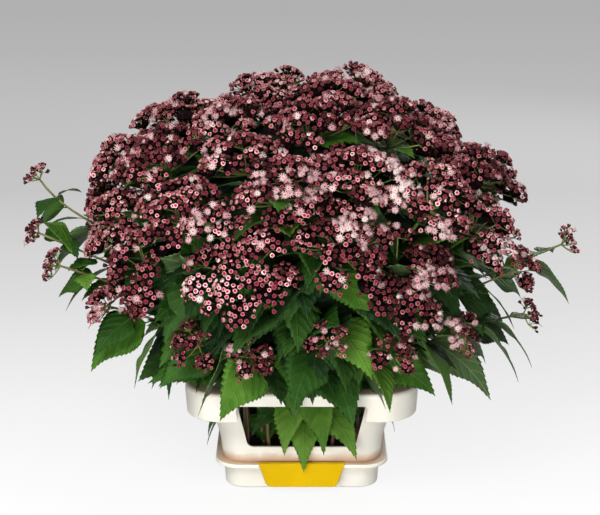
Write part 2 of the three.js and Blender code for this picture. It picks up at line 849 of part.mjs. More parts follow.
function insideHead(head, point) {
  const offset = point.clone().sub(head.centre);
  const rise = offset.dot(head.axis);
  const reach = Math.sqrt(Math.max(0, offset.lengthSq() - rise * rise)) / headRim(head);
  const low = -HEAD_DROP * head.radius * (1 - reach) - LEAF_THICK;
  const high = SPACE_TOP * head.radius * (1 - reach * reach) + LEAF_THICK;
  return reach < 1 && rise > low && rise < high;
}

// Whether a leaf's point is clear of the pot's walls and lip.
function clearOfPot(point, leaf) {
  const square = Math.max(Math.abs(point.x), Math.abs(point.y));
  if (!leaf.throughWindow) return point.z > LIP_HEIGHT + OVER_LIP || square > LIP_HALF + BESIDE_LIP;
  const level = Math.min(Math.abs(point.x), Math.abs(point.y));
  const inWall = square > WINDOW_WALL[0] && square < WINDOW_WALL[1];
  return !inWall || (point.z > WINDOW_LOW + WINDOW_SILL && level < WINDOW_LOW_HALF);
}

function inSector(point, plant) {
  const turn = radians(turnBetween(plantBearing(plant), bearingOf(point)));
  const reach = Math.hypot(point.x, point.y);
  return reach * Math.sin(radians(SECTOR / 2) - Math.abs(turn)) > SECTOR_GAP;
}

// Every stem of every plant, as a curve with its tube's sizes.
function planStems(heads) {
  const stem = (curve, steps, thick, thin, sides) => {
    const points = curve.getPoints(steps);
    const lines = points.slice(1).map((point, i) => [points[i], point]);
    return { curve, steps, thick, thin, sides, lines };
  };
  return Array.from({ length: PLANTS }, (_, plant) => [
    stem(shootCurve(plant, -1), 3, SHOOT_RADIUS, BRANCH_RADIUS, 4),
    stem(shootCurve(plant, 1), 3, SHOOT_RADIUS, BRANCH_RADIUS, 4),
    stem(trunkCurve(plant), 1, TRUNK_RADIUS, TRUNK_RADIUS, 6),
    ...heads
      .filter((head) => head.plant === plant)
      .map((head) => ({
        ...stem(branchCurve(head), 4, BRANCH_RADIUS, TWIG_RADIUS, 3),
        head,
      })),
  ]);
}

// Each leaf is turned and bent a little differently until it is clear of everything, or as nearly as a few
// tries allow.
function planLeaves(heads, stems) {
  const leaves = Array.from({ length: PLANTS }, () => []);
  const grow = (plant, stem, root, toward, length, pitch, bend, throughWindow = false) => {
    const aside = throughWindow ? 0 : turnBetween(toward, plantBearing(plant));
    const aslant = turnBetween(bearingOf(root), toward);
    let best = null;
    for (let tries = 0; tries < LEAF_TRIES && (best === null || best.hits > 0); tries++) {
      const loose = 1 + TRY_LOOSER * tries;
      const leaf = {
        stem,
        root,
        bearing: toward + scatter(LEAF_SCATTER.bearing) * loose + TRY_INWARD * tries * aside,
        length: length * between(...LEAF_SIZES),
        pitch: pitch + scatter(LEAF_SCATTER.pitch) * loose + tries,
        bend: (bend + scatter(LEAF_SCATTER.bend) * loose) * (1 - TRY_STRAIGHTER * tries),
        roll: scatter(LEAF_SCATTER.roll) + LEAF_TWIST * Math.sin(radians(aslant)),
        throughWindow,
      };
      leaf.hits = leafHits(leaf, plant, stems, leaves, heads);
      if (best === null || leaf.hits < best.hits) best = leaf;
    }
    leaves[plant].push(best);
  };
  for (const [plant, rootBearing, height, ...shape] of LIP_LEAVES) {
    grow(plant, null, coreRoot(rootBearing, height), ...shape);
  }
  for (let plant = 0; plant < PLANTS; plant++) {
    const own = plantBearing(plant);
    const [left, right, trunk, ...branches] = stems[plant];
    if (plant % 2 === 0) {
      const count = plant === FRONT_PLANT ? WINDOW_LEAVES.length : SIDE_WINDOW_LEAVES;
      for (const [side, share, offset, ...shape] of WINDOW_LEAVES.slice(0, count)) {
        const shoot = side < 0 ? left : right;
        grow(plant, shoot, shoot.curve.getPoint(share), own + offset, ...shape, true);
      }
    }
    for (const branch of branches.filter(({ head }) => headReach(head) > SPRAY_REACH)) {
      for (const [share, offset, ...shape] of SPRAY_LEAVES) {
        const toward = bearingOf(branch.head.centre) + offset;
        grow(plant, branch, branch.curve.getPoint(share), toward, ...shape);
      }
    }
    const isLow = ({ rings, centre }) => rings === SMALL_HEAD_RINGS && centre.z < SKIRT_BELOW;
    for (const branch of branches.filter(({ head }) => isLow(head))) {
      for (const [share, offset, ...shape] of SKIRT_LEAVES.slice(plant === FRONT_PLANT ? 2 : 0)) {
        const toward = bearingOf(branch.head.centre) + offset;
        grow(plant, branch, branch.curve.getPoint(share), toward, ...shape);
      }
    }
    for (let row = 0; row < LEAF_ROWS; row++) {
      const share = row / (LEAF_ROWS - 1);
      const at = ([low, high]) => low + (high - low) * share;
      const turns = row % 2 === 0 ? [-LEAF_ROW_TURN, LEAF_ROW_TURN] : [0];
      for (const turn of turns) {
        const bearing = own + turn + scatter(LEAF_ROW_SCATTER);
        const root = coreRoot(bearing, at(LEAF_ROW_HEIGHTS) + scatter(LEAF_ROW_SHIFT));
        const shape = [LEAF_ROW_LENGTHS, LEAF_ROW_PITCHES, LEAF_ROW_BENDS].map(at);
        const aside = LEAF_ROW_ASIDE[leaves[plant].length % LEAF_ROW_ASIDE.length];
        grow(plant, null, root, bearing + aside, ...shape);
      }
    }
  }
  return leaves;
}

function headReach(head) {
  return Math.hypot(head.centre.x, head.centre.y);
}

// A leaf's root lies a little inside the core, at a bearing and a height.
function coreRoot(bearing, height) {
  const above = CORE_LEVELS.findIndex(([level]) => level > height);
  const [low, lowReach] = CORE_LEVELS[above - 1];
  const [high, highReach] = CORE_LEVELS[above];
  const reach = lowReach + ((highReach - lowReach) * (height - low)) / (high - low);
  return polar(bearing, reach - LEAF_ROOT, height);
}

function coreGeometry(plant) {
  const own = plantBearing(plant);
  const wide = SECTOR / 2 + CORE_OVERLAP;
  const rings = CORE_LEVELS.map(([height, reach], level) => {
    const outer = Array.from({ length: CORE_COLUMNS + 1 }, (_, column) => {
      const phase = CORE_RIPPLE[0] * level + CORE_RIPPLE[1] * column + CORE_RIPPLE[2] * plant;
      const rough = CORE_ROUGH * Math.sin(phase);
      const bearing = own + wide * ((2 * column) / CORE_COLUMNS - 1);
      return polar(bearing, reach * (1 + rough), height);
    });
    return [...outer, polar(own + wide, CORE_HEART, height), polar(own - wide, CORE_HEART, height)];
  });
  return loft(rings);
}

// A plant's own sector is kept by cutting at the two upright planes between it and its neighbours.
function keepSector(solid, plant) {
  return [-1, 1].reduce((kept, side) => {
    const inward = polar(plantBearing(plant) + side * (SECTOR / 2 - 90), 1, 0);
    return kept.trimByPlane(inward.toArray(), SECTOR_GAP / 2);
  }, solid);
}

function plantSolid(plant, stems, leaves, heads, potSolids) {
  const leafSolids = (throughWindow) =>
    leaves[plant]
      .filter((leaf) => leaf.throughWindow === throughWindow)
      .map((leaf) => solidOf(leafGeometry(leaf)));
  const stemSolids = stems[plant].map((stem) => solidOf(tubeGeometry(stem)));
  const bush = [solidOf(coreGeometry(plant)), ...stemSolids, ...leafSolids(false)];
  let solid = keepSector(wasm.Manifold.union(bush), plant);
  solid = wasm.Manifold.union([solid, ...leafSolids(true)]);
  const box = solid.boundingBox();
  for (const head of heads) {
    const space = solidOf(headSpace(head));
    const reach = space.boundingBox();
    const apart = [0, 1, 2].some((k) => reach.min[k] > box.max[k] || reach.max[k] < box.min[k]);
    if (!apart) solid = solid.subtract(space);
  }
  return largestPiece(solid.subtract(potSolids));
}

// Materials.

function material(color, roughness) {
  return new THREE.MeshStandardMaterial({ color, roughness, metalness: 0, flatShading: true });
}

const collarPlastic = material(0xeae4da, 0.45);
const trayPlastic = material(0xe6dfd3, 0.5);
const labelCard = material(0xf2c400, 0.4);
const soilPeat = material(0x2a1d14, 0.95);
const leafGreen = material(0x2f5e25, 0.6);
const floretPink = material(0xa84a68, 0.8);

function named(name, geometry, look) {
  const mesh = new THREE.Mesh(geometry, look);
  mesh.name = name;
  return mesh;
}

const twoDigits = (number) => String(number).padStart(2, "0");

const plant = new THREE.Group();
const collar = collarGeometry();
plant.add(named("tray", trayGeometry(), trayPlastic));
plant.add(named("collar", collar, collarPlastic));
plant.add(named("label_card", labelGeometry(), labelCard));
plant.add(named("soil", soilGeometry(), soilPeat));

const heads = planHeads();
const stems = planStems(heads);
const leaves = planLeaves(heads, stems);
const potSolids = solidOf(collar);
headSolids(heads).forEach((solid, i) => {
  const name = `flower_head_${twoDigits(i + 1)}`;
  plant.add(named(name, geometryOf(largestPiece(solid)), floretPink));
});
for (let i = 0; i < PLANTS; i++) {
  const name = `leafy_stem_${twoDigits(i + 1)}`;
  plant.add(named(name, geometryOf(plantSolid(i, stems, leaves, heads, potSolids)), leafGreen));
}

export default plant;
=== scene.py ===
# The look of the potted eupatorium. Lengths are in millimetres here and become metres when a piece is made.
# The plan of heads, stems and leaves repeats the one that the solids were made from, so that every fine piece
# lies where its solid is. The rest adds florets, veins, finishes, light and the camera.
import math

import bmesh
import bpy
import numpy as np
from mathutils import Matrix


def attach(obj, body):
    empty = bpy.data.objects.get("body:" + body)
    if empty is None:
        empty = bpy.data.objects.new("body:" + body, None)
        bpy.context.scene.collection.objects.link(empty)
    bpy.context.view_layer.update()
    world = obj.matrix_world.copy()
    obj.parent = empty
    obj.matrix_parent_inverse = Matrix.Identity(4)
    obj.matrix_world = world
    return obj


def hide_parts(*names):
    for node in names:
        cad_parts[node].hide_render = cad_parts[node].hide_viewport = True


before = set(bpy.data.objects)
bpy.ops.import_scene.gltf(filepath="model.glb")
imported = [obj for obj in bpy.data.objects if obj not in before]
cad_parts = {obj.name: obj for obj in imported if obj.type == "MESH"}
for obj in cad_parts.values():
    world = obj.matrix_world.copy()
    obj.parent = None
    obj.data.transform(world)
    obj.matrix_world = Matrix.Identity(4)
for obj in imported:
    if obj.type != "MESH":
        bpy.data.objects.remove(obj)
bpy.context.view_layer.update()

# The pot's sizes.
TRAY_HEIGHT = 36
TRAY_HALF = 97
TRAY_WALL = 3
TRAY_TAPER = 2
LEDGE_HALF = 107
LEDGE_THICK = 5
COLLAR_FOOT_HALF = 98
COLLAR_WAIST_HALF = 101
COLLAR_WAIST_HEIGHT = 66
COLLAR_TOP_HALF = 121
COLLAR_WALL = 3
LIP_HALF = 142
LIP_HEIGHT = 142
LIP_SKIRT = 36
LIP_DRAFT = 2
FOOT_CORNER = 26
LIP_CORNER = 46
WINDOW_LOW = 57
WINDOW_HIGH = 127
WINDOW_LOW_HALF = 66
WINDOW_HIGH_HALF = 80
WINDOW_CORNER = 8
SLOT_LENGTH = 13
SLOT_WIDTH = 6
SLOT_PLACES = [-62, 0, 46]
SLOT_INSET = 10
GAP = 0.3

# The plants' sizes, as in the plan of the solids.
PLANTS = 8
SECTOR = 360 / PLANTS
SECTOR_GAP = 0.5
RIM = 0.004
ROOT_REACH = 48
ROOT_LOW = 20
FORK_HEIGHT = 64
FORK_SINK = 2
TRUNK_RADIUS = 4.6
SHOOT_RADIUS = 3.4
BRANCH_RADIUS = 2.5
TWIG_RADIUS = 1.8
SHOOT_POINTS = [[8, 54, 110], [12, 72, 178], [12, 100, 262]]
BRANCH_HEADS = [150, 410]
BRANCH_SHARES = [0.45, 0.97]
BRANCH_LIFT = 0.15
BRANCH_BOWS = [0.35, 0.3]
DOME_WIDE = 240
DOME_DEEP = 222
DOME_TALL = 138
DOME_CENTRE = 326
DOME_EDGE = 105
DOME_HEADS = 34
DOME_HEAD_RADIUS = 57
HEAD_LIFT = 0.55
DOME_LEVELS = [6, -14, -2]
GOLDEN_ANGLE = 137.50776
SECTOR_MARGIN = 5
HEAD_TURN_SCATTER = 3
HEAD_LEVEL_SCATTER = 4
HEAD_SIZES = [0.84, 1.1]
SMALL_HEADS = [
    [180, 326, 376, 18, 1.6],
    [187, 328, 316, 17, 0.5],
    [194, 306, 284, 21, 0.4],
    [206, 262, 246, 27, 0.4],
    [236, 222, 222, 28, 0.4],
    [254, 206, 212, 26, 0.4],
    [278, 204, 232, 24, 0.5],
    [300, 216, 214, 28, 0.4],
    [322, 238, 222, 26, 0.3],
    [349, 284, 216, 20, 0.3],
    [346, 272, 276, 29, 0.5],
    [2, 332, 286, 20, 0.4],
    [62, 214, 214, 28, 0.4],
    [124, 214, 214, 28, 0.4],
]
HEAD_RISE = 0.44
HEAD_DROP = 0.34
LOBES = 6
LOBE_REACH = 0.64
LOBE_SIZE = 0.42
LOBE_RISE = 0.16
LOBE_OUTLINE = 0.09
BUD_RISE = 0.6
DOME_HEAD_RINGS = 4
SMALL_HEAD_RINGS = 3
SPACE_TOP = 0.8
CORE_LEVELS = [[158, 92], [196, 126], [244, 150], [296, 164], [344, 158], [384, 126], [410, 64]]
LEAF_ROWS = 6
LEAF_ROW_HEIGHTS = [166, 346]
LEAF_ROW_TURN = 12
LEAF_ROW_LENGTHS = [132, 96]
LEAF_ROW_PITCHES = [12, -28]
LEAF_ROW_BENDS = [68, 42]
LEAF_ROW_SCATTER = 4
LEAF_ROW_SHIFT = 6
LEAF_ROW_ASIDE = [34, -22, 26, -36, 12]
LEAF_ROOT = 14
LIP_LEAVES = [
    [5, 234, 164, 196, 146, 8, 44],
    [5, 240, 170, 240, 124, 22, 100],
    [6, 264, 172, 272, 92, 26, 104],
    [7, 296, 168, 334, 112, 16, 64],
    [7, 322, 170, 312, 118, 20, 92],
    [0, 343, 166, 341, 136, 8, 50],
]
WINDOW_LEAVES = [
    [-1, 0.22, -46, 104, 6, 84],
    [1, 0.13, 4, 94, 14, 104],
    [1, 0.21, 38, 108, 10, 96],
    [-1, 0.27, -18, 106, 10, 112],
    [1, 0.3, 22, 112, 8, 108],
]
SIDE_WINDOW_LEAVES = 3
WINDOW_LEAF_SLENDER = 0.4
FRONT_PLANT = 6
SPRAY_LEAVES = [[0.62, 34, 92, 0, 58], [0.8, -36, 78, -8, 52]]
SPRAY_REACH = 255
SKIRT_LEAVES = [[0.4, -62, 112, -2, 60], [0.52, 56, 118, -4, 66], [0.7, -34, 96, -8, 64]]
SKIRT_BELOW = 250
LEAF_TWIST = 70
LEAF_SCATTER = {"bearing": 5, "pitch": 6, "bend": 8, "roll": 12}
LEAF_SIZES = [0.82, 1.1]
LEAF_TRIES = 30
TRY_LOOSER = 1 / 3
TRY_INWARD = 0.06
TRY_STRAIGHTER = 0.03
OVER_LIP = 4
BESIDE_LIP = 3
WINDOW_WALL = [COLLAR_FOOT_HALF - 6, LEDGE_HALF + 4]
WINDOW_SILL = 4
LEAF_SLENDER = 0.56
LEAF_THICK = 1.6
LEAF_FOLD = 0.16
LEAF_EDGE = [[0.13, 0.06], [0.34, 1], [0.43, 0.72], [0.62, 0.56]]
LEAF_RIB = [0.14, 0.5]

UP = np.array([0.0, 0.0, 1.0])

# One stream of repeatable numbers, the same as the plan's.
stream = {"state": 20483}


def random():
    stream["state"] = (stream["state"] * 1664525 + 1013904223) % 4294967296
    return stream["state"] / 4294967296


def between(low, high):
    return low + (high - low) * random()


def scatter(most):
    return between(-most, most)


def polar(bearing, reach, height):
    turn = math.radians(bearing)
    return np.array([reach * math.cos(turn), reach * math.sin(turn), height])


def bearing_of(point):
    return math.degrees(math.atan2(point[1], point[0]))


def turn_between(start, end):
    return (end - start + 180) % 360 - 180


def clamp(value, low, high):
    return max(low, min(high, value))


def unit(vector):
    return vector / np.linalg.norm(vector)


def plant_bearing(plant):
    return plant * SECTOR


# The plan of the flower heads.


def dome_point(polar_angle, bearing):
    tilt = math.radians(polar_angle)
    turn = math.radians(bearing)
    return np.array([
        DOME_WIDE * math.sin(tilt) * math.cos(turn),
        DOME_DEEP * math.sin(tilt) * math.sin(turn),
        DOME_CENTRE + DOME_TALL * math.cos(tilt),
    ])


def dome_normal(point):
    x, y, z = point
    return unit(np.array([x / DOME_WIDE**2, y / DOME_DEEP**2, (z - DOME_CENTRE) / DOME_TALL**2]))


def even_angles(count, edge):
    steps = 400
    total = [0.0]
    for i in range(steps):
        tilt = math.radians((edge * (i + 0.5)) / steps)
        slope = math.hypot(DOME_WIDE * math.cos(tilt), DOME_TALL * math.sin(tilt))
        total.append(total[i] + math.sin(tilt) * slope)
    angles = []
    step = 0
    for i in range(count):
        wanted = (total[steps] * (i + 0.5)) / count
        while total[step + 1] < wanted:
            step += 1
        share = (wanted - total[step]) / (total[step + 1] - total[step])
        angles.append((edge * (step + share)) / steps)
    return angles


def plant_and_bearing(bearing, reach):
    plant = math.floor(bearing / SECTOR + 0.5) % PLANTS
    most = SECTOR / 2 - math.degrees(math.asin(min(1, SECTOR_MARGIN / reach)))
    offset = clamp(turn_between(plant_bearing(plant), bearing), -most, most)
    return plant, plant_bearing(plant) + offset


def plan_heads():
    heads = []

    def add(plant, centre, axis, radius, rings):
        head = {"plant": plant, "centre": centre, "axis": axis, "radius": radius, "rings": rings}
        heads.append({**head, "turn": between(0, 360 / LOBES)})

    for i, angle in enumerate(even_angles(DOME_HEADS, DOME_EDGE)):
        reach = DOME_DEEP * math.sin(math.radians(angle))
        plant, bearing = plant_and_bearing(i * GOLDEN_ANGLE + scatter(HEAD_TURN_SCATTER), reach)
        centre = dome_point(angle, bearing)
        axis = unit(dome_normal(centre) + HEAD_LIFT * UP)
        centre = centre + axis * (DOME_LEVELS[i % 3] + scatter(HEAD_LEVEL_SCATTER))
        add(plant, centre, axis, DOME_HEAD_RADIUS * between(*HEAD_SIZES), DOME_HEAD_RINGS)
    for toward, reach, height, radius, rise in SMALL_HEADS:
        plant, bearing = plant_and_bearing(toward, reach)
        add(plant, polar(bearing, reach, height), unit(polar(bearing, 1, rise)), radius, SMALL_HEAD_RINGS)
    return heads


# The turn that takes +Z to an axis by the shortest way, as a matrix.
def turn_to(axis):
    x, y, z = np.cross(UP, axis)
    cross = np.array([[0, -z, y], [z, 0, -x], [-y, x, 0]])
    return np.eye(3) + cross + cross @ cross / (1 + axis[2])


def head_rim(head):
    return (1 + LOBE_OUTLINE + BUD_RISE / head["rings"]) * head["radius"]


def head_apex(head):
    return head["centre"] - HEAD_DROP * head["radius"] * head["axis"]


def head_reach(head):
    return math.hypot(head["centre"][0], head["centre"][1])


def is_small(head):
    return head["rings"] == SMALL_HEAD_RINGS


# The plan of the stems, as Bezier control points.


def bezier(points, share):
    p0, p1, p2, p3 = points
    rest = 1 - share
    return rest**3 * p0 + 3 * rest**2 * share * p1 + 3 * rest * share**2 * p2 + share**3 * p3


def shoot_curve(plant, side):
    bearing = plant_bearing(plant)
    start = polar(bearing, ROOT_REACH, FORK_HEIGHT - FORK_SINK)
    return [start] + [polar(bearing + side * turn, reach, height) for turn, reach, height in SHOOT_POINTS]


def head_side(head):
    return -1 if turn_between(plant_bearing(head["plant"]), bearing_of(head["centre"])) < 0 else 1


def branch_curve(head):
    shoot = shoot_curve(head["plant"], head_side(head))
    rise = (head["centre"][2] - BRANCH_HEADS[0]) / (BRANCH_HEADS[1] - BRANCH_HEADS[0])
    start = bezier(shoot, clamp(rise, *BRANCH_SHARES))
    apex = head_apex(head)
    length = np.linalg.norm(apex - start)
    away = unit(unit(apex - start) + BRANCH_LIFT * UP)
    return [
        start,
        start + BRANCH_BOWS[0] * length * away,
        apex - BRANCH_BOWS[1] * length * head["axis"],
        apex - GAP * head["axis"],
    ]


def plan_stems(heads):
    def stem(curve, steps, thick, thin, **more):
        if len(curve) == 2:
            points = curve
        else:
            points = [bezier(curve, i / steps) for i in range(steps + 1)]
        lines = np.array([points[:-1], points[1:]]).transpose(1, 0, 2)
        return {"curve": curve, "thick": thick, "thin": thin, "lines": lines, **more}

    stems = []
    for plant in range(PLANTS):
        bearing = plant_bearing(plant)
        trunk = [
            polar(bearing, ROOT_REACH, ROOT_LOW),
            polar(bearing, ROOT_REACH, FORK_HEIGHT + 2 * FORK_SINK),
        ]
        own = [
            stem(shoot_curve(plant, -1), 3, SHOOT_RADIUS, BRANCH_RADIUS),
            stem(shoot_curve(plant, 1), 3, SHOOT_RADIUS, BRANCH_RADIUS),
            stem(trunk, 1, TRUNK_RADIUS, TRUNK_RADIUS),
        ]
        for head in heads:
            if head["plant"] == plant:
                own.append(stem(branch_curve(head), 4, BRANCH_RADIUS, TWIG_RADIUS, head=head))
        stems.append(own)
    return stems


# The plan of the leaves. A leaf bends evenly from its first pitch along one bearing.


def leaf_frame(leaf, share):
    share = np.asarray(share, float)[..., None]
    bend = math.radians(leaf["bend"])
    first = math.radians(leaf["pitch"])
    pitch = first - bend * share
    outward = polar(leaf["bearing"], 1, 0)
    out = leaf["length"] * (math.sin(first) - np.sin(pitch)) / bend
    rise = leaf["length"] * (np.cos(pitch) - math.cos(first)) / bend
    place = leaf["root"] + out * outward + rise * UP
    along = np.cos(pitch) * outward + np.sin(pitch) * UP
    level = polar(leaf["bearing"] + 90, 1, 0)
    roll = math.radians(leaf["roll"])
    side = math.cos(roll) * level + math.sin(roll) * np.cross(along, level)
    return place, side, np.cross(along, side)


def leaf_point(leaf, share, across, lift):
    place, side, over = leaf_frame(leaf, share)
    slender = WINDOW_LEAF_SLENDER if leaf["window"] else LEAF_SLENDER
    half = (0.5 * slender * leaf["length"] * np.asarray(across, float))[..., None]
    return place + side * half + over * (LEAF_FOLD * np.abs(half) + np.asarray(lift, float)[..., None])


def leaf_strip(rib, edge, flip):
    triangles = []
    i = 0
    j = 0
    while i < len(rib) - 1 or j < len(edge) - 1:
        step_rib = j == len(edge) - 1 or (i < len(rib) - 1 and rib[i + 1][0] < edge[j + 1][0])
        third = rib[i + 1][1] if step_rib else edge[j + 1][1]
        triangle = [rib[i][1], third, edge[j][1]]
        if len(set(triangle)) == 3:
            triangles.append(triangle[::-1] if flip else triangle)
        if step_rib:
            i += 1
        else:
            j += 1
    return triangles


# The plain leaf of the solids: its points, and the triangles of its top, for the tests below.
def plain_leaf(leaf):
    rows = [[0, 0, 0], [1, 0, 0]]

    def chain(stations):
        middle = []
        for share, across, lift in stations:
            rows.append([share, across, lift])
            middle.append([share, len(rows) - 1])
        return [[0, 0]] + middle + [[1, 1]]

    left = chain([[share, across, 0] for share, across in LEAF_EDGE])
    right = chain([[share, -across, 0] for share, across in LEAF_EDGE])
    top = chain([[share, 0, LEAF_THICK / 2] for share in LEAF_RIB])
    chain([[share, 0, -LEAF_THICK / 2] for share in LEAF_RIB])
    share, across, lift = np.array(rows, float).T
    points = leaf_point(leaf, share, across, lift)
    return points, np.array(leaf_strip(top, left, False) + leaf_strip(top, right, True))


# Whether any line passes through any triangle, its rim left out.
def meets(lines, triangles):
    if (lines.max((0, 1)) < triangles.min((0, 1))).any() or (lines.min((0, 1)) > triangles.max((0, 1))).any():
        return False
    start = lines[:, None, 0]
    along = lines[:, None, 1] - start
    corner = triangles[None, :, 0]
    first = triangles[None, :, 1] - corner
    second = triangles[None, :, 2] - corner
    across = np.cross(along, second)
    scale = (first * across).sum(-1)
    real = np.abs(scale) >= RIM
    scale = np.where(real, scale, 1)
    offset = start - corner
    turned = np.cross(offset, first)
    u = (offset * across).sum(-1) / scale
    v = (along * turned).sum(-1) / scale
    t = (second * turned).sum(-1) / scale
    inside = np.minimum.reduce([u, v, 1 - u - v, t, 1 - t]) > RIM
    return bool((inside & real).any())


def inside_head(head, points):
    offset = points - head["centre"]
    rise = offset @ head["axis"]
    level = np.sqrt(np.maximum(0, (offset * offset).sum(-1) - rise * rise))
    reach = level / head_rim(head)
    low = -HEAD_DROP * head["radius"] * (1 - reach) - LEAF_THICK
    high = SPACE_TOP * head["radius"] * (1 - reach * reach) + LEAF_THICK
    return bool(((reach < 1) & (rise > low) & (rise < high)).any())


def clear_of_pot(points, leaf):
    x, y, z = points.T
    square = np.maximum(np.abs(x), np.abs(y))
    if not leaf["window"]:
        return (z > LIP_HEIGHT + OVER_LIP) | (square > LIP_HALF + BESIDE_LIP)
    level = np.minimum(np.abs(x), np.abs(y))
    in_wall = (square > WINDOW_WALL[0]) & (square < WINDOW_WALL[1])
    return ~in_wall | ((z > WINDOW_LOW + WINDOW_SILL) & (level < WINDOW_LOW_HALF))


def in_sector(points, plant):
    x, y, _ = points.T
    turn = np.radians((np.degrees(np.arctan2(y, x)) - plant_bearing(plant) + 180) % 360 - 180)
    return np.hypot(x, y) * np.sin(math.radians(SECTOR / 2) - np.abs(turn)) > SECTOR_GAP


def leaf_hits(leaf, plant, stems, leaves, heads):
    points, upper = plain_leaf(leaf)
    faces = points[upper]
    edges = np.concatenate([faces[:, [0, 1]], faces[:, [1, 2]], faces[:, [2, 0]]])
    leaf["faces"] = faces
    leaf["edges"] = edges
    hits = sum(stem is not leaf["stem"] and meets(stem["lines"], faces) for stem in stems[plant])
    hits += sum(meets(other["edges"], faces) or meets(edges, other["faces"]) for other in leaves[plant])
    hits += sum(inside_head(head, points) for head in heads)
    hits += int((~clear_of_pot(points, leaf)).sum())
    if not leaf["window"]:
        rib = leaf_point(leaf, np.array([*LEAF_RIB, 1.0]), np.zeros(3), np.zeros(3))
        hits += int((~in_sector(rib, plant)).sum())
    return hits


def core_root(bearing, height):
    above = next(i for i, (level, _) in enumerate(CORE_LEVELS) if level > height)
    low, low_reach = CORE_LEVELS[above - 1]
    high, high_reach = CORE_LEVELS[above]
    reach = low_reach + (high_reach - low_reach) * (height - low) / (high - low)
    return polar(bearing, reach - LEAF_ROOT, height)


def plan_leaves(heads, stems):
    leaves = [[] for _ in range(PLANTS)]

    def grow(plant, stem, root, toward, length, pitch, bend, window=False):
        aside = 0 if window else turn_between(toward, plant_bearing(plant))
        aslant = math.radians(turn_between(bearing_of(root), toward))
        best = None
        tries = 0
        while tries < LEAF_TRIES and (best is None or best["hits"] > 0):
            loose = 1 + TRY_LOOSER * tries
            leaf = {
                "stem": stem,
                "root": root,
                "bearing": toward + scatter(LEAF_SCATTER["bearing"]) * loose + TRY_INWARD * tries * aside,
                "length": length * between(*LEAF_SIZES),
                "pitch": pitch + scatter(LEAF_SCATTER["pitch"]) * loose + tries,
                "bend": (bend + scatter(LEAF_SCATTER["bend"]) * loose) * (1 - TRY_STRAIGHTER * tries),
                "roll": scatter(LEAF_SCATTER["roll"]) + LEAF_TWIST * math.sin(aslant),
                "window": window,
            }
            leaf["hits"] = leaf_hits(leaf, plant, stems, leaves, heads)
            if best is None or leaf["hits"] < best["hits"]:
                best = leaf
            tries += 1
        leaves[plant].append(best)

    for plant, root_bearing, height, *shape in LIP_LEAVES:
        grow(plant, None, core_root(root_bearing, height), *shape)
    for plant in range(PLANTS):
        own = plant_bearing(plant)
        left, right, _, *branches = stems[plant]
        if plant % 2 == 0:
            count = len(WINDOW_LEAVES) if plant == FRONT_PLANT else SIDE_WINDOW_LEAVES
            for side, share, offset, *shape in WINDOW_LEAVES[:count]:
                shoot = left if side < 0 else right
                grow(plant, shoot, bezier(shoot["curve"], share), own + offset, *shape, window=True)
        for branch in branches:
            if head_reach(branch["head"]) > SPRAY_REACH:
                for share, offset, *shape in SPRAY_LEAVES:
                    toward = bearing_of(branch["head"]["centre"]) + offset
                    grow(plant, branch, bezier(branch["curve"], share), toward, *shape)
        for branch in branches:
            if is_small(branch["head"]) and branch["head"]["centre"][2] < SKIRT_BELOW:
                for share, offset, *shape in SKIRT_LEAVES[2 if plant == FRONT_PLANT else 0:]:
                    toward = bearing_of(branch["head"]["centre"]) + offset
                    grow(plant, branch, bezier(branch["curve"], share), toward, *shape)
        for row in range(LEAF_ROWS):
            share = row / (LEAF_ROWS - 1)
            shape = [
                low + (high - low) * share
                for low, high in [LEAF_ROW_LENGTHS, LEAF_ROW_PITCHES, LEAF_ROW_BENDS]
            ]
            height = LEAF_ROW_HEIGHTS[0] + (LEAF_ROW_HEIGHTS[1] - LEAF_ROW_HEIGHTS[0]) * share
            for turn in [-LEAF_ROW_TURN, LEAF_ROW_TURN] if row % 2 == 0 else [0]:
                bearing = own + turn + scatter(LEAF_ROW_SCATTER)
                root = core_root(bearing, height + scatter(LEAF_ROW_SHIFT))
                aside = LEAF_ROW_ASIDE[len(leaves[plant]) % len(LEAF_ROW_ASIDE)]
                grow(plant, None, root, bearing + aside, *shape)
    return leaves


heads = plan_heads()
stems = plan_stems(heads)
leaves = plan_leaves(heads, stems)


# Making pieces. A part of a mesh is its points, its triangles and their material numbers, with a tint from 0
# to 1, whether it is an underside, and a pair of surface coordinates for each point.


def part(points, triangles, material=0, tint=0.5, under=0.0, place=None):
    points = np.asarray(points, float)
    count = len(points)
    return {
        "points": points,
        "triangles": np.asarray(triangles, int),
        "material": np.broadcast_to(material, len(triangles)),
        "tint": np.broadcast_to(tint, count),
        "under": np.broadcast_to(under, count),
        "place": np.zeros((count, 2)) if place is None else np.asarray(place, float),
    }


def joined(parts):
    start = 0
    triangles = []
    for each in parts:
        triangles.append(each["triangles"] + start)
        start += len(each["points"])
    whole = {key: np.concatenate([each[key] for each in parts]) for key in parts[0] if key != "triangles"}
    whole["triangles"] = np.concatenate(triangles)
    return whole


# Many copies of one part, each with its own place, turn, size and tint.
def copies(shape, origins, turns, sizes, tints):
    count = len(origins)
    many = len(shape["points"])
    points = np.einsum("nij,kj->nki", turns, shape["points"]) * np.reshape(sizes, (-1, 1, 1))
    triangles = shape["triangles"][None] + many * np.arange(count)[:, None, None]
    return part(
        (points + np.asarray(origins)[:, None]).reshape(-1, 3),
        triangles.reshape(-1, 3),
        np.tile(shape["material"], count),
        np.repeat(tints, many),
    )


def linked(name, data):
    obj = bpy.data.objects.new(name, data)
    bpy.context.scene.collection.objects.link(obj)
    return obj


def smooth(mesh):
    mesh.polygons.foreach_set("use_smooth", np.ones(len(mesh.polygons), bool))


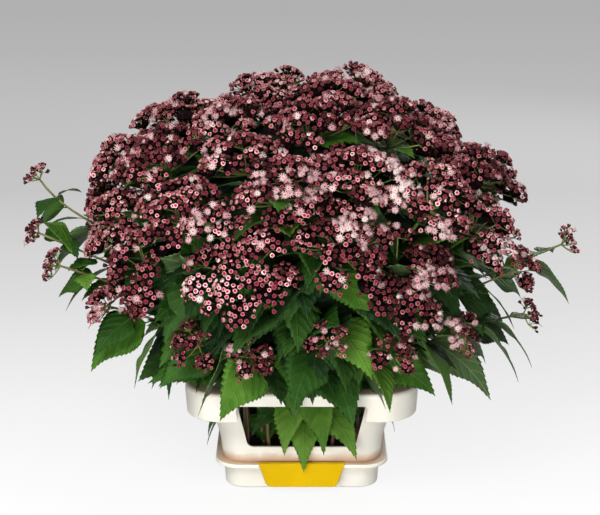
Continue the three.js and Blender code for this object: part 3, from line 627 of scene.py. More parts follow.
def make_piece(name, whole, materials, replaced):
    mesh = bpy.data.meshes.new(name)
    mesh.from_pydata((whole["points"] / 1000).tolist(), [], whole["triangles"].tolist())
    for material in materials:
        mesh.materials.append(material)
    mesh.polygons.foreach_set("material_index", whole["material"].astype(np.int32))
    smooth(mesh)
    for key in ["tint", "under"]:
        mesh.attributes.new(key, "FLOAT", "POINT").data.foreach_set("value", whole[key].astype(np.float32))
    corner = np.empty(len(mesh.loops), np.int32)
    mesh.loops.foreach_get("vertex_index", corner)
    layer = mesh.uv_layers.new(name="place")
    layer.data.foreach_set("uv", whole["place"][corner].astype(np.float32).ravel())
    mesh.update()
    obj = linked(name, mesh)
    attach(obj, "root")
    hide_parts(replaced)


# Quads between rings of points that follow each other, and quads cut into triangles.
def bands(levels, sides):
    low = np.arange(levels - 1)[:, None] * sides
    i = np.arange(sides)[None]
    j = (i + 1) % sides
    return np.stack([low + i, low + j, low + sides + j, low + sides + i], -1).reshape(-1, 4)


def halved(quads):
    return np.concatenate([quads[:, [0, 1, 2]], quads[:, [0, 2, 3]]])


def lathe_faces(levels, sides):
    return halved(bands(levels, sides))


def circle(sides):
    turns = np.arange(sides) * 2 * math.pi / sides
    return np.cos(turns), np.sin(turns)


def tube(points, radii, sides, material, tint):
    points = np.asarray(points, float)
    tangents = np.gradient(points, axis=0)
    tangents /= np.linalg.norm(tangents, axis=1)[:, None]
    side = np.array([0.0, 1.0, 0.0]) if abs(tangents[0][0]) > 0.9 else np.array([1.0, 0.0, 0.0])
    cos, sin = circle(sides)
    rings = []
    for point, tangent, radius in zip(points, tangents, radii):
        side = unit(side - side @ tangent * tangent)
        rings.append(point + radius * (cos[:, None] * side + sin[:, None] * np.cross(tangent, side)))
    return part(np.concatenate(rings), lathe_faces(len(rings), sides), material, tint)


# A turned shape along +Z, whose first and last rows are its poles. Rows are radius, height, material and
# whether the level waves.
def turned(profile, sides, wave=0.0):
    i = np.arange(sides)
    cos, sin = circle(sides)
    points = []
    for radius, height, _, waved in profile[1:-1]:
        reach = radius * (1 + wave * waved * np.cos(i * 2 * math.pi / sides * 3 + 1))
        points.append(np.stack([reach * cos, reach * sin, np.full(sides, height)], -1))
    levels = len(points)
    points.append(np.array([[0, 0, profile[0][1]], [0, 0, profile[-1][1]]]))
    foot = levels * sides
    sole = np.stack([np.roll(i, -1), i, np.full(sides, foot)], -1)
    cap = np.stack([i, np.roll(i, -1), np.full(sides, foot + 1)], -1) + [foot - sides, foot - sides, 0]
    owner = np.concatenate([
        np.tile(np.repeat([row[2] for row in profile[2:-1]], sides), 2),
        np.full(sides, profile[1][2]),
        np.full(sides, profile[-1][2]),
    ])
    return part(np.concatenate(points), np.concatenate([lathe_faces(levels, sides), sole, cap]), owner)


# Materials. A node's input is fed with a number or colour that is the same all over, or with an output.


def start_material(name):
    material = bpy.data.materials.new(name)
    material.use_nodes = True
    tree = material.node_tree
    return material, tree, tree.nodes["Principled BSDF"].inputs


def node(tree, kind, **settings):
    made = tree.nodes.new(kind)
    for key, value in settings.items():
        if key in made.inputs.keys():
            made.inputs[key].default_value = value
        else:
            setattr(made, key, value)
    return made


def feed(socket, value):
    if isinstance(value, bpy.types.NodeSocket):
        socket.id_data.links.new(value, socket)
    elif isinstance(value, tuple):
        socket.default_value = (*value, 1)
    else:
        socket.default_value = value


def tree_of(*values):
    return next(value.id_data for value in values if isinstance(value, bpy.types.NodeSocket))


def arith(operation, first, second=0.0, clamped=False):
    made = node(tree_of(first, second), "ShaderNodeMath", operation=operation, use_clamp=clamped)
    feed(made.inputs[0], first)
    feed(made.inputs[1], second)
    return made.outputs["Value"]


def plus(first, second):
    return arith("ADD", first, second)


def minus(first, second, clamped=False):
    return arith("SUBTRACT", first, second, clamped)


def times(first, second):
    return arith("MULTIPLY", first, second)


# A value moved up and down by a pattern that runs from 0 to 1.
def swayed(value, pattern, strength):
    return plus(value, times(minus(pattern, 0.5), strength))


# A line of 1 where a distance is nil, which fades to 0 on either side.
def line_where(distance, steepness):
    return minus(1.0, times(distance, steepness), True)


def mixed(factor, first, second, blend="MIX"):
    made = node(tree_of(factor, first, second), "ShaderNodeMix", data_type="RGBA", blend_type=blend)
    for index, value in [(0, factor), (6, first), (7, second)]:
        feed(made.inputs[index], value)
    return made.outputs[2]


def ramp(factor, stops):
    made = node(factor.id_data, "ShaderNodeValToRGB")
    elements = made.color_ramp.elements
    while len(elements) < len(stops):
        elements.new(0.5)
    for element, (place, *colour) in zip(elements, stops):
        element.position = place
        element.color = (*colour, 1)
    feed(made.inputs["Fac"], factor)
    return made.outputs["Color"]


# A value's share of the way from one bound to the other.
def spread(value, start, end):
    made = node(value.id_data, "ShaderNodeMapRange", clamp=True)
    for key, given in [("Value", value), ("From Min", start), ("From Max", end)]:
        feed(made.inputs[key], given)
    return made.outputs["Result"]


def split(vector):
    made = node(vector.id_data, "ShaderNodeSeparateXYZ")
    feed(made.inputs["Vector"], vector)
    return made.outputs


def attribute(tree, name):
    return node(tree, "ShaderNodeAttribute", attribute_name=name).outputs["Fac"]


def object_place(tree):
    return node(tree, "ShaderNodeTexCoord").outputs["Object"]


NOISE_ROUGHNESS = 0.55


def noise(tree, scale, detail):
    texture = node(tree, "ShaderNodeTexNoise", Scale=scale, Detail=detail, Roughness=NOISE_ROUGHNESS)
    feed(texture.inputs["Vector"], object_place(tree))
    return texture.outputs["Fac"]


# Sets a material's colour, roughness and gloss, and a relief of so many metres.
def surface(inputs, colour, rough, gloss, relief, depth, strength=1.0):
    feed(inputs["Base Color"], colour)
    feed(inputs["Roughness"], rough)
    feed(inputs["Specular IOR Level"], gloss)
    made = node(relief.id_data, "ShaderNodeBump", Strength=strength, Distance=depth)
    feed(made.inputs["Height"], relief)
    feed(inputs["Normal"], made.outputs["Normal"])


# A floret material: its colour runs from one end of the tint to the other, mottled at the scale of florets.
def floret_material(name, rough, mottle, sheen, stops):
    material, tree, inputs = start_material(name)
    spots = noise(tree, 900, 3)
    tone = ramp(swayed(attribute(tree, "tint"), spots, mottle), stops)
    feed(inputs["Sheen Weight"], sheen)
    surface(inputs, tone, rough, 0.1, spots, 0.0003, 0.6)
    return material


cup_maroon = floret_material(
    "cup_maroon", 0.6, 0.5, 0.0,
    [(0, 0.018, 0.002, 0.004), (0.6, 0.05, 0.006, 0.010), (1, 0.10, 0.022, 0.020)],
)
ring_pink = floret_material(
    "ring_pink", 0.55, 0.5, 0.05,
    [(0, 0.04, 0.004, 0.006), (0.35, 0.22, 0.048, 0.055), (0.7, 0.56, 0.28, 0.28), (1, 0.84, 0.62, 0.61)],
)
centre_crimson = floret_material(
    "centre_crimson", 0.6, 0.6, 0.0,
    [(0, 0.03, 0.001, 0.004), (0.5, 0.19, 0.004, 0.032), (1, 0.40, 0.014, 0.07)],
)
open_white = floret_material(
    "open_white", 0.7, 0.3, 0.2,
    [(0, 0.46, 0.24, 0.26), (0.5, 0.60, 0.40, 0.40), (1, 0.76, 0.63, 0.61)],
)


# A dull material whose colour and relief both come from one noise.
def crumbly(name, scale, detail, rough, gloss, depth, stops):
    material, tree, inputs = start_material(name)
    grain = noise(tree, scale, detail)
    surface(inputs, ramp(grain, stops), rough, gloss, grain, depth)
    return material


# The crowded stalks and lower buds inside a head, near black as painted shade; the nearly black heart of the
# foliage, a mass of painted shade; and moist peat.
shade_maroon = crumbly(
    "shade_maroon", 210, 4, 0.9, 0.05, 0.004,
    [(0.4, 0.002, 0.001, 0.001), (0.55, 0.010, 0.002, 0.004), (0.75, 0.026, 0.012, 0.006)],
)
# Painted shade: the near-black colour of the foliage's heart.
core_shade = crumbly(
    "core_shade", 55, 5, 0.9, 0.1, 0.012,
    [(0.35, 0.002, 0.004, 0.002), (0.6, 0.008, 0.022, 0.008), (0.75, 0.016, 0.05, 0.016)],
)
soil_peat = crumbly(
    "soil_peat", 160, 6, 0.95, 0.15, 0.003,
    [(0.3, 0.010, 0.005, 0.003), (0.55, 0.045, 0.026, 0.014), (0.75, 0.11, 0.065, 0.035)],
)

# Stems and stalks: olive to yellow-green with a brown-purple flush.
stem_green, tree, inputs = start_material("stem_green")
stem_stops = [
    (0, 0.10, 0.045, 0.032), (0.4, 0.10, 0.085, 0.025), (0.75, 0.17, 0.20, 0.05), (1, 0.30, 0.34, 0.12),
]
stem_tone = ramp(swayed(attribute(tree, "tint"), noise(tree, 40, 3), 0.9), stem_stops)
surface(inputs, stem_tone, 0.55, 0.35, noise(tree, 700, 2), 0.0003, 0.5)


# Leaves: surface coordinates run across the leaf and along it, both as shares of its length. A pale midrib
# and side veins that leave it towards the tip are sunk in the top and stand up below.
RIB_STEEPNESS = 75.0
SIDE_VEINS = 6.4
SIDE_VEIN_STEEPNESS = 11.0
NET_STEEPNESS = 9.0


def leaf_material(name, stops, under_colour):
    material, tree, inputs = start_material(name)
    place = split(node(tree, "ShaderNodeUVMap", uv_map="place").outputs["UV"])
    across = arith("ABSOLUTE", minus(place["X"], 0.5))
    arch = times(across, plus(times(across, 2.6), 0.8))
    run = swayed(minus(place["Y"], arch), noise(tree, 60, 2), 0.03)
    side = arith("PINGPONG", times(run, SIDE_VEINS), 0.5)
    side_vein = times(line_where(side, SIDE_VEIN_STEEPNESS), 0.75)
    fine = node(tree, "ShaderNodeTexVoronoi", feature="DISTANCE_TO_EDGE", Scale=330.0)
    feed(fine.inputs["Vector"], object_place(tree))
    net = times(line_where(fine.outputs["Distance"], NET_STEEPNESS), 0.22)
    vein = arith("MAXIMUM", arith("MAXIMUM", line_where(across, RIB_STEEPNESS), side_vein), net)
    patches = noise(tree, 28, 3)
    blade = ramp(swayed(attribute(tree, "tint"), patches, 0.55), stops)
    top = mixed(times(vein, 0.13), blade, (0.14, 0.26, 0.07))
    below = mixed(times(vein, 0.6), under_colour, (0.26, 0.36, 0.17))
    quilt = minus(times(side, 1.4), times(vein, 0.7))
    rough = plus(times(patches, 0.22), 0.40)
    surface(inputs, mixed(attribute(tree, "under"), top, below), rough, 0.08, quilt, 0.0014, 0.6)
    return material


leaf_green = leaf_material(
    "leaf_green",
    [
        (0, 0.006, 0.024, 0.003),
        (0.25, 0.013, 0.050, 0.005),
        (0.45, 0.020, 0.068, 0.008),
        (0.7, 0.046, 0.128, 0.012),
        (1, 0.115, 0.23, 0.03),
    ],
    (0.07, 0.13, 0.045),
)
# A darker copy of the leaf material for the leaves close round the heart: painted shade.
inner_shade_green = leaf_material(
    "inner_shade_green",
    [(0, 0.004, 0.015, 0.005), (0.5, 0.009, 0.033, 0.007), (1, 0.030, 0.085, 0.010)],
    (0.02, 0.04, 0.012),
)

# Flower heads. A closed flower is a dark cup, a pale ring of florets and a crimson middle.
CUP, RING, CENTRE, OPEN, STALK, DEEP = range(6)
head_materials = [cup_maroon, ring_pink, centre_crimson, open_white, stem_green, shade_maroon]
FLOWER_SIDES = 6
closed_flower = turned(
    [
        [0, -5.4, CUP, 0],
        [2.3, -1.2, CUP, 0],
        [2.85, 0.6, RING, 1],
        [2.5, 1.3, RING, 1],
        [1.8, 1.0, RING, 0],
        [0, 0.3, CENTRE, 0],
    ],
    FLOWER_SIDES,
    0.1,
)
bud = turned(
    [[0, -5.0, CUP, 0], [1.6, -2.6, CUP, 0], [1.8, -0.6, CUP, 0], [1.0, 0.8, RING, 0], [0, 1.1, CENTRE, 0]],
    5,
)
open_body = turned(
    [
        [0, -5.4, CUP, 0],
        [2.1, -2.2, CUP, 0],
        [3.0, 0.4, OPEN, 1],
        [2.2, 1.7, OPEN, 1],
        [0.8, 1.9, OPEN, 0],
        [0, 1.3, CENTRE, 0],
    ],
    FLOWER_SIDES,
    0.12,
)
THREADS = 20
THREAD_ROOT = 1.2
THREAD_HALF = 0.32
THREAD_TURN = 2.39996


# One of the pale threads that stand out all round an open flower.
def thread(i):
    turn = i * THREAD_TURN
    rise = 0.25 + 0.65 * (i % 5) / 4
    reach = 3.6 + 1.7 * ((i * 7) % 5) / 4
    out = np.array([math.cos(turn), math.sin(turn), 0])
    wide = np.array([-math.sin(turn), math.cos(turn), 0]) * THREAD_HALF
    foot = out * THREAD_ROOT + UP * 1.0
    middle = out * (THREAD_ROOT + 0.55 * reach) + UP * (1.4 + rise * 1.9)
    tip = out * (THREAD_ROOT + reach * 0.95) + UP * (1.2 + rise * 2.9)
    points = [foot - wide, foot + wide, middle - wide, middle + wide, tip]
    return part(points, [[0, 1, 3], [0, 3, 2], [2, 3, 4]], OPEN)


open_flower = joined([open_body] + [thread(i) for i in range(THREADS)])

# Where open flowers lie thick: a point on the dome, how far round it, and how many of the flowers there.
OPEN_PATCHES = [
    [92, -198, 391, 26, 0.9], [116, -167, 412, 22, 0.85], [111, -145, 430, 18, 0.7],
    [84, -127, 449, 18, 0.6], [-2, -201, 409, 30, 0.6], [-41, -198, 409, 22, 0.45],
    [-72, -175, 219, 30, 0.9], [156, -170, 225, 34, 0.8], [156, -185, 347, 26, 0.5],
    [139, -194, 297, 26, 0.5], [59, -219, 374, 26, 0.5], [-107, -204, 370, 26, 0.45],
    [-172, -173, 344, 22, 0.4], [-211, -52, 408, 24, 0.4], [-103, -47, 467, 26, 0.5],
    [60, 40, 470, 30, 0.5], [40, 150, 430, 34, 0.5], [170, 140, 360, 34, 0.5],
    [-60, 205, 350, 36, 0.5], [-170, 90, 400, 32, 0.5],
]
OPEN_ELSEWHERE = 0.045

chance = np.random.default_rng(7)


def about(middle, reach):
    return middle + chance.uniform(-reach, reach)


# A head is made of smaller corymbs in rows round a middle one: how many, and how far out. Each is a shallow
# dome whose axis leans from the head's own towards the sky, and low heads are looser. A few small ones stand
# about the rim.
CORYMB_ROWS = [[1, 0], [5, 0.42], [9, 0.82]]
SMALL_CORYMB_ROWS = [[1, 0.1], [5, 0.68]]
CORYMB = 0.36
SMALL_CORYMB = 0.46
CORYMB_DOME = 0.5
CORYMB_SUNK = 0.45
CORYMB_LEVELS = 8
CORYMB_MISSING = [0.1, 0.22]
LOOSE_HEIGHTS = [280, 370]
RIM_CORYMBS = [2, 5]


# A head's height over one flat place in its own frame, with +Z outward: lobes round a middle one.
def head_height(head, x, y):
    radius = head["radius"]
    reach = np.hypot(x, y)
    turn = np.arctan2(y, x) - math.radians(head["turn"])
    outline = 1 + LOBE_OUTLINE * reach / radius * np.cos(LOBES * turn)
    share = reach / radius / outline
    around = np.radians(np.arange(LOBES) * 360 / LOBES + head["turn"])
    centres = np.concatenate([[[0, 0]], LOBE_REACH * radius * np.stack([np.cos(around), np.sin(around)], -1)])
    apart = np.linalg.norm(np.array([x, y]) - centres, axis=-1)
    lobe = np.maximum(0, 1 - (apart.min() / (LOBE_SIZE * radius)) ** 2)
    return radius * (HEAD_RISE * (1 - share**2) + LOBE_RISE * lobe)


def plan_corymbs(head):
    radius = head["radius"]
    to_world = turn_to(head["axis"])
    small = is_small(head)
    loose = 1 - clamp((head["centre"][2] - LOOSE_HEIGHTS[0]) / (LOOSE_HEIGHTS[1] - LOOSE_HEIGHTS[0]), 0, 1)
    missing = CORYMB_MISSING[0] + CORYMB_MISSING[1] * loose
    corymbs = []

    def add(place, axis, own_radius):
        tint = about(0, 0.2)
        centre = head["centre"] + np.array(place) @ to_world.T
        corymbs.append({"centre": centre, "axis": unit(axis), "radius": own_radius, "tint": tint})

    for count, share in SMALL_CORYMB_ROWS if small else CORYMB_ROWS:
        for i in range(count):
            turn = math.radians(i * 360 / count + head["turn"]) + chance.normal(0, 0.1)
            reach = radius * (share + chance.normal(0, 0.04))
            x, y = reach * math.cos(turn), reach * math.sin(turn)
            own_radius = (SMALL_CORYMB if small else CORYMB) * radius * chance.uniform(0.8, 1.15)
            height = head_height(head, x, y) - CORYMB_SUNK * own_radius
            height += chance.uniform(-1, 1) * CORYMB_LEVELS * (1 + 0.5 * loose) * radius / DOME_HEAD_RADIUS
            if share > 0.2 and not small and chance.random() < missing:
                continue
            outward = unit(np.array([0.9 * x / radius, 0.9 * y / radius, 1.0]))
            lean = (0.5 + 0.4 * loose) * UP + chance.normal(0, 0.14, 3)
            add([x, y, height], outward @ to_world.T + lean, own_radius)
    for _ in range(0 if small else chance.integers(*RIM_CORYMBS)):
        turn = chance.uniform(0, 2 * math.pi)
        reach = chance.uniform(0.6, 1.08) * radius
        place = [reach * math.cos(turn), reach * math.sin(turn), chance.uniform(0.04, 0.28) * radius]
        axis = head["axis"] + 0.5 * UP + chance.normal(0, 0.25, 3)
        add(place, axis, chance.uniform(0.13, 0.24) * radius)
    return corymbs


# Heights over a corymb's base plane, as shares of its radius.
def corymb_height(share):
    return CORYMB_DOME * (1 - share**2)


# The dark middle of a corymb, painted shade among the stalks under its flowers: rough rings that narrow to a
# foot.
CORE_REACH = 0.66
CORE_SUNK = 7
CORE_RINGS = 3
CORE_AROUND = 11
CORE_FROM = 12


def corymb_core(corymb):
    radius = corymb["radius"]
    out = np.stack([*circle(CORE_AROUND), np.zeros(CORE_AROUND)], -1)
    sunk = CORE_SUNK * min(1, radius / 20)
    rings = []
    for ring in range(CORE_RINGS + 1):
        share = CORE_REACH * ring / CORE_RINGS
        lift = (ring > 0) * chance.normal(0, 0.05 * radius, CORE_AROUND)
        height = corymb_height(share) * radius - sunk + lift
        rough = 1 + (ring > 0) * chance.normal(0, 0.09, (CORE_AROUND, 1))
        rings.append(out * radius * share * rough + UP * np.reshape(height * np.ones(CORE_AROUND), (-1, 1)))
    rings.append(0.04 * radius * out - 0.5 * radius * UP)
    points = corymb["centre"] + np.concatenate(rings) @ turn_to(corymb["axis"]).T
    return part(points, lathe_faces(len(rings), CORE_AROUND)[:, ::-1], DEEP)


SPACING = 7.15
SMALL_SPACING = 0.72 * SPACING
CROWDING = 3.5
SMALL_CROWDING = 3.1
FEWEST = 6
FLOWER_SCATTER = 1.1
FLOWER_SPLAY = 1.15
LEAN_SCATTER = 0.14
SUNK_REACH = 0.97
SUNK_DEPTH = 2.5
BORDER = 2


# A corymb's flowers, spread by the golden angle: where they stand, which way they face and how far out they
# are. Those sunk in another corymb, or past the border with the next head, are left out.
def corymb_flowers(head, corymb, corymbs):
    radius = corymb["radius"]
    to_world = turn_to(corymb["axis"])
    spacing, crowding = (SMALL_SPACING, SMALL_CROWDING) if is_small(head) else (SPACING, CROWDING)
    count = max(FEWEST, int(crowding * (radius / spacing) ** 2))
    i = np.arange(count)
    share = np.sqrt((i + 0.5) / count)
    turn = np.radians(i * GOLDEN_ANGLE + chance.uniform(0, 360))
    flat = np.stack([share * np.cos(turn), share * np.sin(turn)], -1) * radius
    flat += chance.normal(0, 1, (count, 2)) * (0.6 + 0.9 * share[:, None] ** 4)
    height = corymb_height(share) * radius + chance.normal(0, FLOWER_SCATTER, count)
    world = corymb["centre"] + np.concatenate([flat, height[:, None]], 1) @ to_world.T
    lean = np.concatenate([FLOWER_SPLAY * flat / radius, np.ones((count, 1))], 1)
    lean += chance.normal(0, LEAN_SCATTER, (count, 3))
    keep = np.ones(count, bool)
    for other in corymbs:
        if other is not corymb:
            offset = world - other["centre"]
            rise = offset @ other["axis"]
            reach = np.sqrt(np.maximum(0, (offset**2).sum(1) - rise**2)) / other["radius"]
            over = rise > corymb_height(reach) * other["radius"] - SUNK_DEPTH
            keep &= (reach > SUNK_REACH) | over | (rise < -0.6 * other["radius"])
    for other in heads:
        apart = other["centre"] - head["centre"]
        distance = np.linalg.norm(apart)
        both = head["radius"] + other["radius"]
        if other is not head and distance <= 1.1 * both:
            facing = apart / distance
            edge = facing @ head["centre"] + head["radius"] / both * distance
            keep &= world @ facing < edge + BORDER + chance.normal(0, 1.5, count)
    return world[keep], lean[keep] @ to_world.T, share[keep]


# Straight three-sided stalks from starts to ends.
def stalks(starts, ends, thick, thin, tints):
    along = ends - starts
    along /= np.maximum(np.linalg.norm(along, axis=1), 1e-6)[:, None]
    side = np.cross(along, [0.3, 0.9, 0.1])
    side /= np.linalg.norm(side, axis=1)[:, None]
    other = np.cross(along, side)
    rings = []
    for centre, radius in [(starts, thick), (ends, thin)]:
        for cos, sin in zip(*circle(3)):
            rings.append(centre + radius * (cos * side + sin * other))
    faces = lathe_faces(2, 3)[None] + 6 * np.arange(len(starts))[:, None, None]
    return part(np.stack(rings, 1).reshape(-1, 3), faces.reshape(-1, 3), STALK, np.repeat(tints, 6))


# The share of open flowers at some places.
def open_share(places):
    likely = np.full(len(places), OPEN_ELSEWHERE)
    for *place, wide, most in OPEN_PATCHES:
        near = np.clip(1.4 - (np.linalg.norm(places - place, axis=1) / wide) ** 2, 0, 1)
        likely = np.maximum(likely, most * near)
    return likely


HEAD_TINTS = [0.12, 0.48]
# Small heads low on the plant are darker: painted shade.
SMALL_HEAD_SHADE = 0.1
TINT_SCATTER = 0.22
KNOT_DEPTH = 0.55
KNOT_STALK = [1, 0.9, 0.8, 0.7]
BUD_SHARE = 0.08
SMALL_BUD_SHARE = 0.35
RIM_BUD_SHARE = 0.2
FLOWER_SIZES = [0.9, 1.12]
SMALL_FLOWER = 0.84
FLOWER_FOOT = 4.2


def head_piece(number, head):
    small = is_small(head)
    own = chance.uniform(*HEAD_TINTS) - (SMALL_HEAD_SHADE if small else 0)
    thick = 0.9 if small else 1.3
    corymbs = plan_corymbs(head)
    apex = head_apex(head)
    parts = []
    rows = []
    for corymb in corymbs:
        world, normal, rim = corymb_flowers(head, corymb, corymbs)
        many = len(world)
        # Flowers near a corymb's middle, on its top, are paler: painted light.
        tint = own + corymb["tint"] + 0.14 * (1 - rim) + chance.normal(0, TINT_SCATTER, many)
        knot = corymb["centre"] - KNOT_DEPTH * corymb["radius"] * corymb["axis"]
        rows.append([world, normal, rim, tint, np.tile(knot, (many, 1))])
        if many > 3:
            if corymb["radius"] > CORE_FROM:
                parts.append(corymb_core(corymb))
            middle = 0.5 * (apex + knot) - 0.04 * head["radius"] * UP
            curve = [bezier([apex, middle, middle, knot], s) for s in np.linspace(0, 1, 4)]
            parts.append(tube(curve, thick * np.array(KNOT_STALK), 4, STALK, 0.7))
    world, normal, rim, tint, knots = [np.concatenate(row) for row in zip(*rows)]
    count = len(world)
    normal /= np.linalg.norm(normal, axis=1)[:, None]
    turns = np.stack([turn_to(axis) for axis in normal])
    spin = chance.uniform(0, 2 * math.pi, count)
    cos, sin, zero, one = np.cos(spin), np.sin(spin), np.zeros(count), np.ones(count)
    turns = turns @ np.stack([cos, -sin, zero, sin, cos, zero, zero, zero, one], -1).reshape(-1, 3, 3)
    opened = chance.random(count) < open_share(world)
    bud_share = (SMALL_BUD_SHARE if small else BUD_SHARE) + RIM_BUD_SHARE * (rim > 0.85)
    budded = ~opened & (chance.random(count) < bud_share)
    tint = np.clip(tint, 0, 1)
    sizes = chance.uniform(*FLOWER_SIZES, count) * (SMALL_FLOWER if small else 1)
    for chosen, shape in [(~opened & ~budded, closed_flower), (budded, bud), (opened, open_flower)]:
        if chosen.any():
            parts.append(copies(shape, world[chosen], turns[chosen], sizes[chosen], tint[chosen]))
    feet = world - normal * FLOWER_FOOT * sizes[:, None]
    parts.append(stalks(knots, feet, 0.55, 0.42, chance.uniform(0.45, 1.0, count)))
    make_piece(f"flowers_{number}", joined(parts), head_materials, f"flower_head_{number}")


for index, head in enumerate(heads):
    head_piece(f"{index + 1:02d}", head)


# Leaves with toothed edges. Half widths are shares of the widest, and the tip is drawn out.
BLADE_START = 0.12
BLADE = 1 - BLADE_START
BLADE_WIDTHS = [
    [0, 0.03], [0.04, 0.36], [0.1, 0.68], [0.18, 0.92], [0.27, 1], [0.38, 0.95],
    [0.5, 0.78], [0.62, 0.56], [0.74, 0.34], [0.86, 0.15], [0.94, 0.05], [1, 0],
]
STALK_WIDTH = 0.03
TOOTH_PEAK = 0.8
TOOTH_WIDTH = 0.028
TOOTH_FORWARD = 0.25
RIPPLE = 0.018
RIPPLE_TURNS = 13
RIPPLE_OFFSET = 2.2
SAG = 0.05
BLADE_THICK = 0.5


def toothed_leaf(leaf, teeth, columns, tint, slot):
    tooth = np.arange(teeth) / teeth
    notches = BLADE_START + BLADE * tooth
    peaks = BLADE_START + BLADE * (tooth + TOOTH_PEAK / teeth)
    stations = np.concatenate([[0, BLADE_START / 2], notches, peaks, [1]])
    jags = np.concatenate([[0, 0], np.zeros(teeth), np.ones(teeth), [0]])
    order = np.argsort(stations)
    stations, jags = stations[order], jags[order]
    widths = np.interp(np.clip((stations - BLADE_START) / BLADE, 0, 1), *zip(*BLADE_WIDTHS))
    widths = np.maximum(widths, STALK_WIDTH * (stations < 0.98))
    half = widths * (1 + 0.5 * jags / teeth) + TOOTH_WIDTH * jags * (stations < 0.93)
    cross = np.linspace(-1, 1, 2 * columns + 1)
    share = np.repeat(stations, len(cross)).reshape(len(stations), -1)
    sideways = half[:, None] * cross[None]
    # Forward-pointing teeth: the outer column of a tooth's tip moves on towards the leaf's tip.
    share = share + (np.abs(cross) > 0.99) * jags[:, None] * TOOTH_FORWARD * BLADE / teeth * (share < 0.95)
    phase = chance.uniform(0, 6.28)
    wave = chance.uniform(0.5, 1.3) * RIPPLE * leaf["length"]
    outer = cross**2 * np.minimum(half, 1)[:, None]
    ripple = np.sin(phase + RIPPLE_TURNS * share + RIPPLE_OFFSET * np.sign(cross)) * outer
    lift = wave * ripple - SAG * leaf["length"] * outer * chance.uniform(0, 1)
    points = leaf_point(leaf, share.ravel(), sideways.ravel(), lift.ravel())
    slender = WINDOW_LEAF_SLENDER if leaf["window"] else LEAF_SLENDER
    place = np.stack([0.5 + 0.5 * slender * sideways.ravel(), share.ravel()], -1)
    rows, wide = len(stations), len(cross)
    low = (np.arange(rows - 1)[:, None] * wide + np.arange(wide - 1)[None]).ravel()
    faces = halved(np.stack([low, low + wide, low + wide + 1, low + 1], -1))
    over = leaf_frame(leaf, share.ravel())[2]
    top = part(points, faces[:, ::-1], slot, tint, 0.0, place)
    under = part(points - BLADE_THICK * over, faces, slot, tint, 1.0, place)
    left = np.arange(rows) * wide
    rim = np.concatenate([left, (left + wide - 1)[::-1]])
    onward = np.roll(rim, -1)
    lower = len(points)
    edge = halved(np.stack([rim, onward, onward + lower, rim + lower], -1))
    whole = joined([top, under])
    whole["triangles"] = np.concatenate([whole["triangles"], edge])
    whole["material"] = np.concatenate([whole["material"], np.full(len(edge), slot)])
    return whole


# A leaf that no solid has.
def free_leaf(root, bearing, length, pitch, bend, roll):
    shape = {"length": length, "pitch": pitch, "bend": bend, "roll": roll}
    return {"root": root, "bearing": bearing, "window": False, **shape}


LEAF, STEM, INNER, CORE = range(4)
plant_materials = [leaf_green, stem_green, inner_shade_green, core_shade]

# Stems with swollen nodes, brown-purple low down and olive higher up. Those of the sprays are slimmer.
STEM_STEPS = 18
STEM_SIDES = 7
NODE_EVERY = 5
NODE_SWELL = 0.16
STEM_TONE_FROM = 60
STEM_TONE_OVER = 260
SPRAY_SLIM = 0.72


def stem_tube(stem):
    curve = stem["curve"]
    slim = SPRAY_SLIM if "head" in stem and is_small(stem["head"]) else 1
    thick, thin = slim * stem["thick"], slim * stem["thin"]
    bent = len(curve) == 4
    shares = np.linspace(0, 1, (STEM_STEPS if bent else STEM_STEPS // 3) + 1)
    points = [bezier(curve, s) if bent else curve[0] + (curve[1] - curve[0]) * s for s in shares]
    nodes = np.arange(len(shares)) % NODE_EVERY == 2
    made = tube(points, (thick + (thin - thick) * shares) * (1 + NODE_SWELL * nodes), STEM_SIDES, STEM, 0.5)
    rise = np.clip((made["points"][:, 2] - STEM_TONE_FROM) / STEM_TONE_OVER, 0, 1)
    made["tint"] = 0.12 + 0.46 * rise + 0.1 * chance.normal() * np.ones(len(rise))
    return made


# The dark heart of the foliage, painted shade within the bush that reaches up under the heads: height and
# reach of its levels.
HEART_LEVELS = [[158, 90], [196, 122], [244, 146], [296, 162], [344, 168], [384, 152], [412, 120], [430, 70]]
HEART_ROWS = 26
HEART_COLUMNS = 14
HEART_INSET = 4


def heart(plant):
    own = plant_bearing(plant)
    bearings = np.linspace(own - SECTOR / 2, own + SECTOR / 2, HEART_COLUMNS + 1)
    heights = np.linspace(HEART_LEVELS[0][0], HEART_LEVELS[-1][0], HEART_ROWS)
    reaches = np.interp(heights, *zip(*HEART_LEVELS))
    points = []
    for height, reach in zip(heights, reaches):
        for bearing in bearings:
            broad = 0.06 * math.sin(0.16 * height + 0.21 * bearing)
            fine = 0.04 * math.sin(0.37 * height - 0.33 * bearing)
            points.append(polar(bearing, (reach - HEART_INSET) * (1 + (broad + fine)), height))
        points.append(polar(own, 0, height))
    around = HEART_COLUMNS + 2
    low = np.arange(HEART_COLUMNS)
    high = low + (HEART_ROWS - 1) * around
    sole = np.stack([low + 1, low, np.full(HEART_COLUMNS, around - 1)], -1)
    cap = np.stack([high, high + 1, np.full(HEART_COLUMNS, HEART_ROWS * around - 1)], -1)
    return part(points, np.concatenate([lathe_faces(HEART_ROWS, around), sole, cap]), CORE)


# Leaves close round the heart, in the darker leaf material that paints their shade.
INNER_LEAVES = 28
INNER_MARGIN = 6
INNER_TEETH = 10


def inner_leaves(plant):
    own = plant_bearing(plant)
    low, high = CORE_LEVELS[0][0] + INNER_MARGIN, CORE_LEVELS[-1][0] - INNER_MARGIN
    parts = []
    for i in range(INNER_LEAVES):
        share = (i + chance.random()) / INNER_LEAVES
        bearing = own + chance.uniform(-0.5, 0.5) * SECTOR
        leaf = free_leaf(
            core_root(bearing, low + (high - low) * share) + polar(bearing, 4, 0),
            about(bearing, 40),
            chance.uniform(82, 118),
            about(20 - 30 * share, 18),
            about(70 - 20 * share, 20),
            about(0, 35),
        )
        parts.append(toothed_leaf(leaf, INNER_TEETH, 2, chance.uniform(0.1, 1.0), INNER))
    return parts


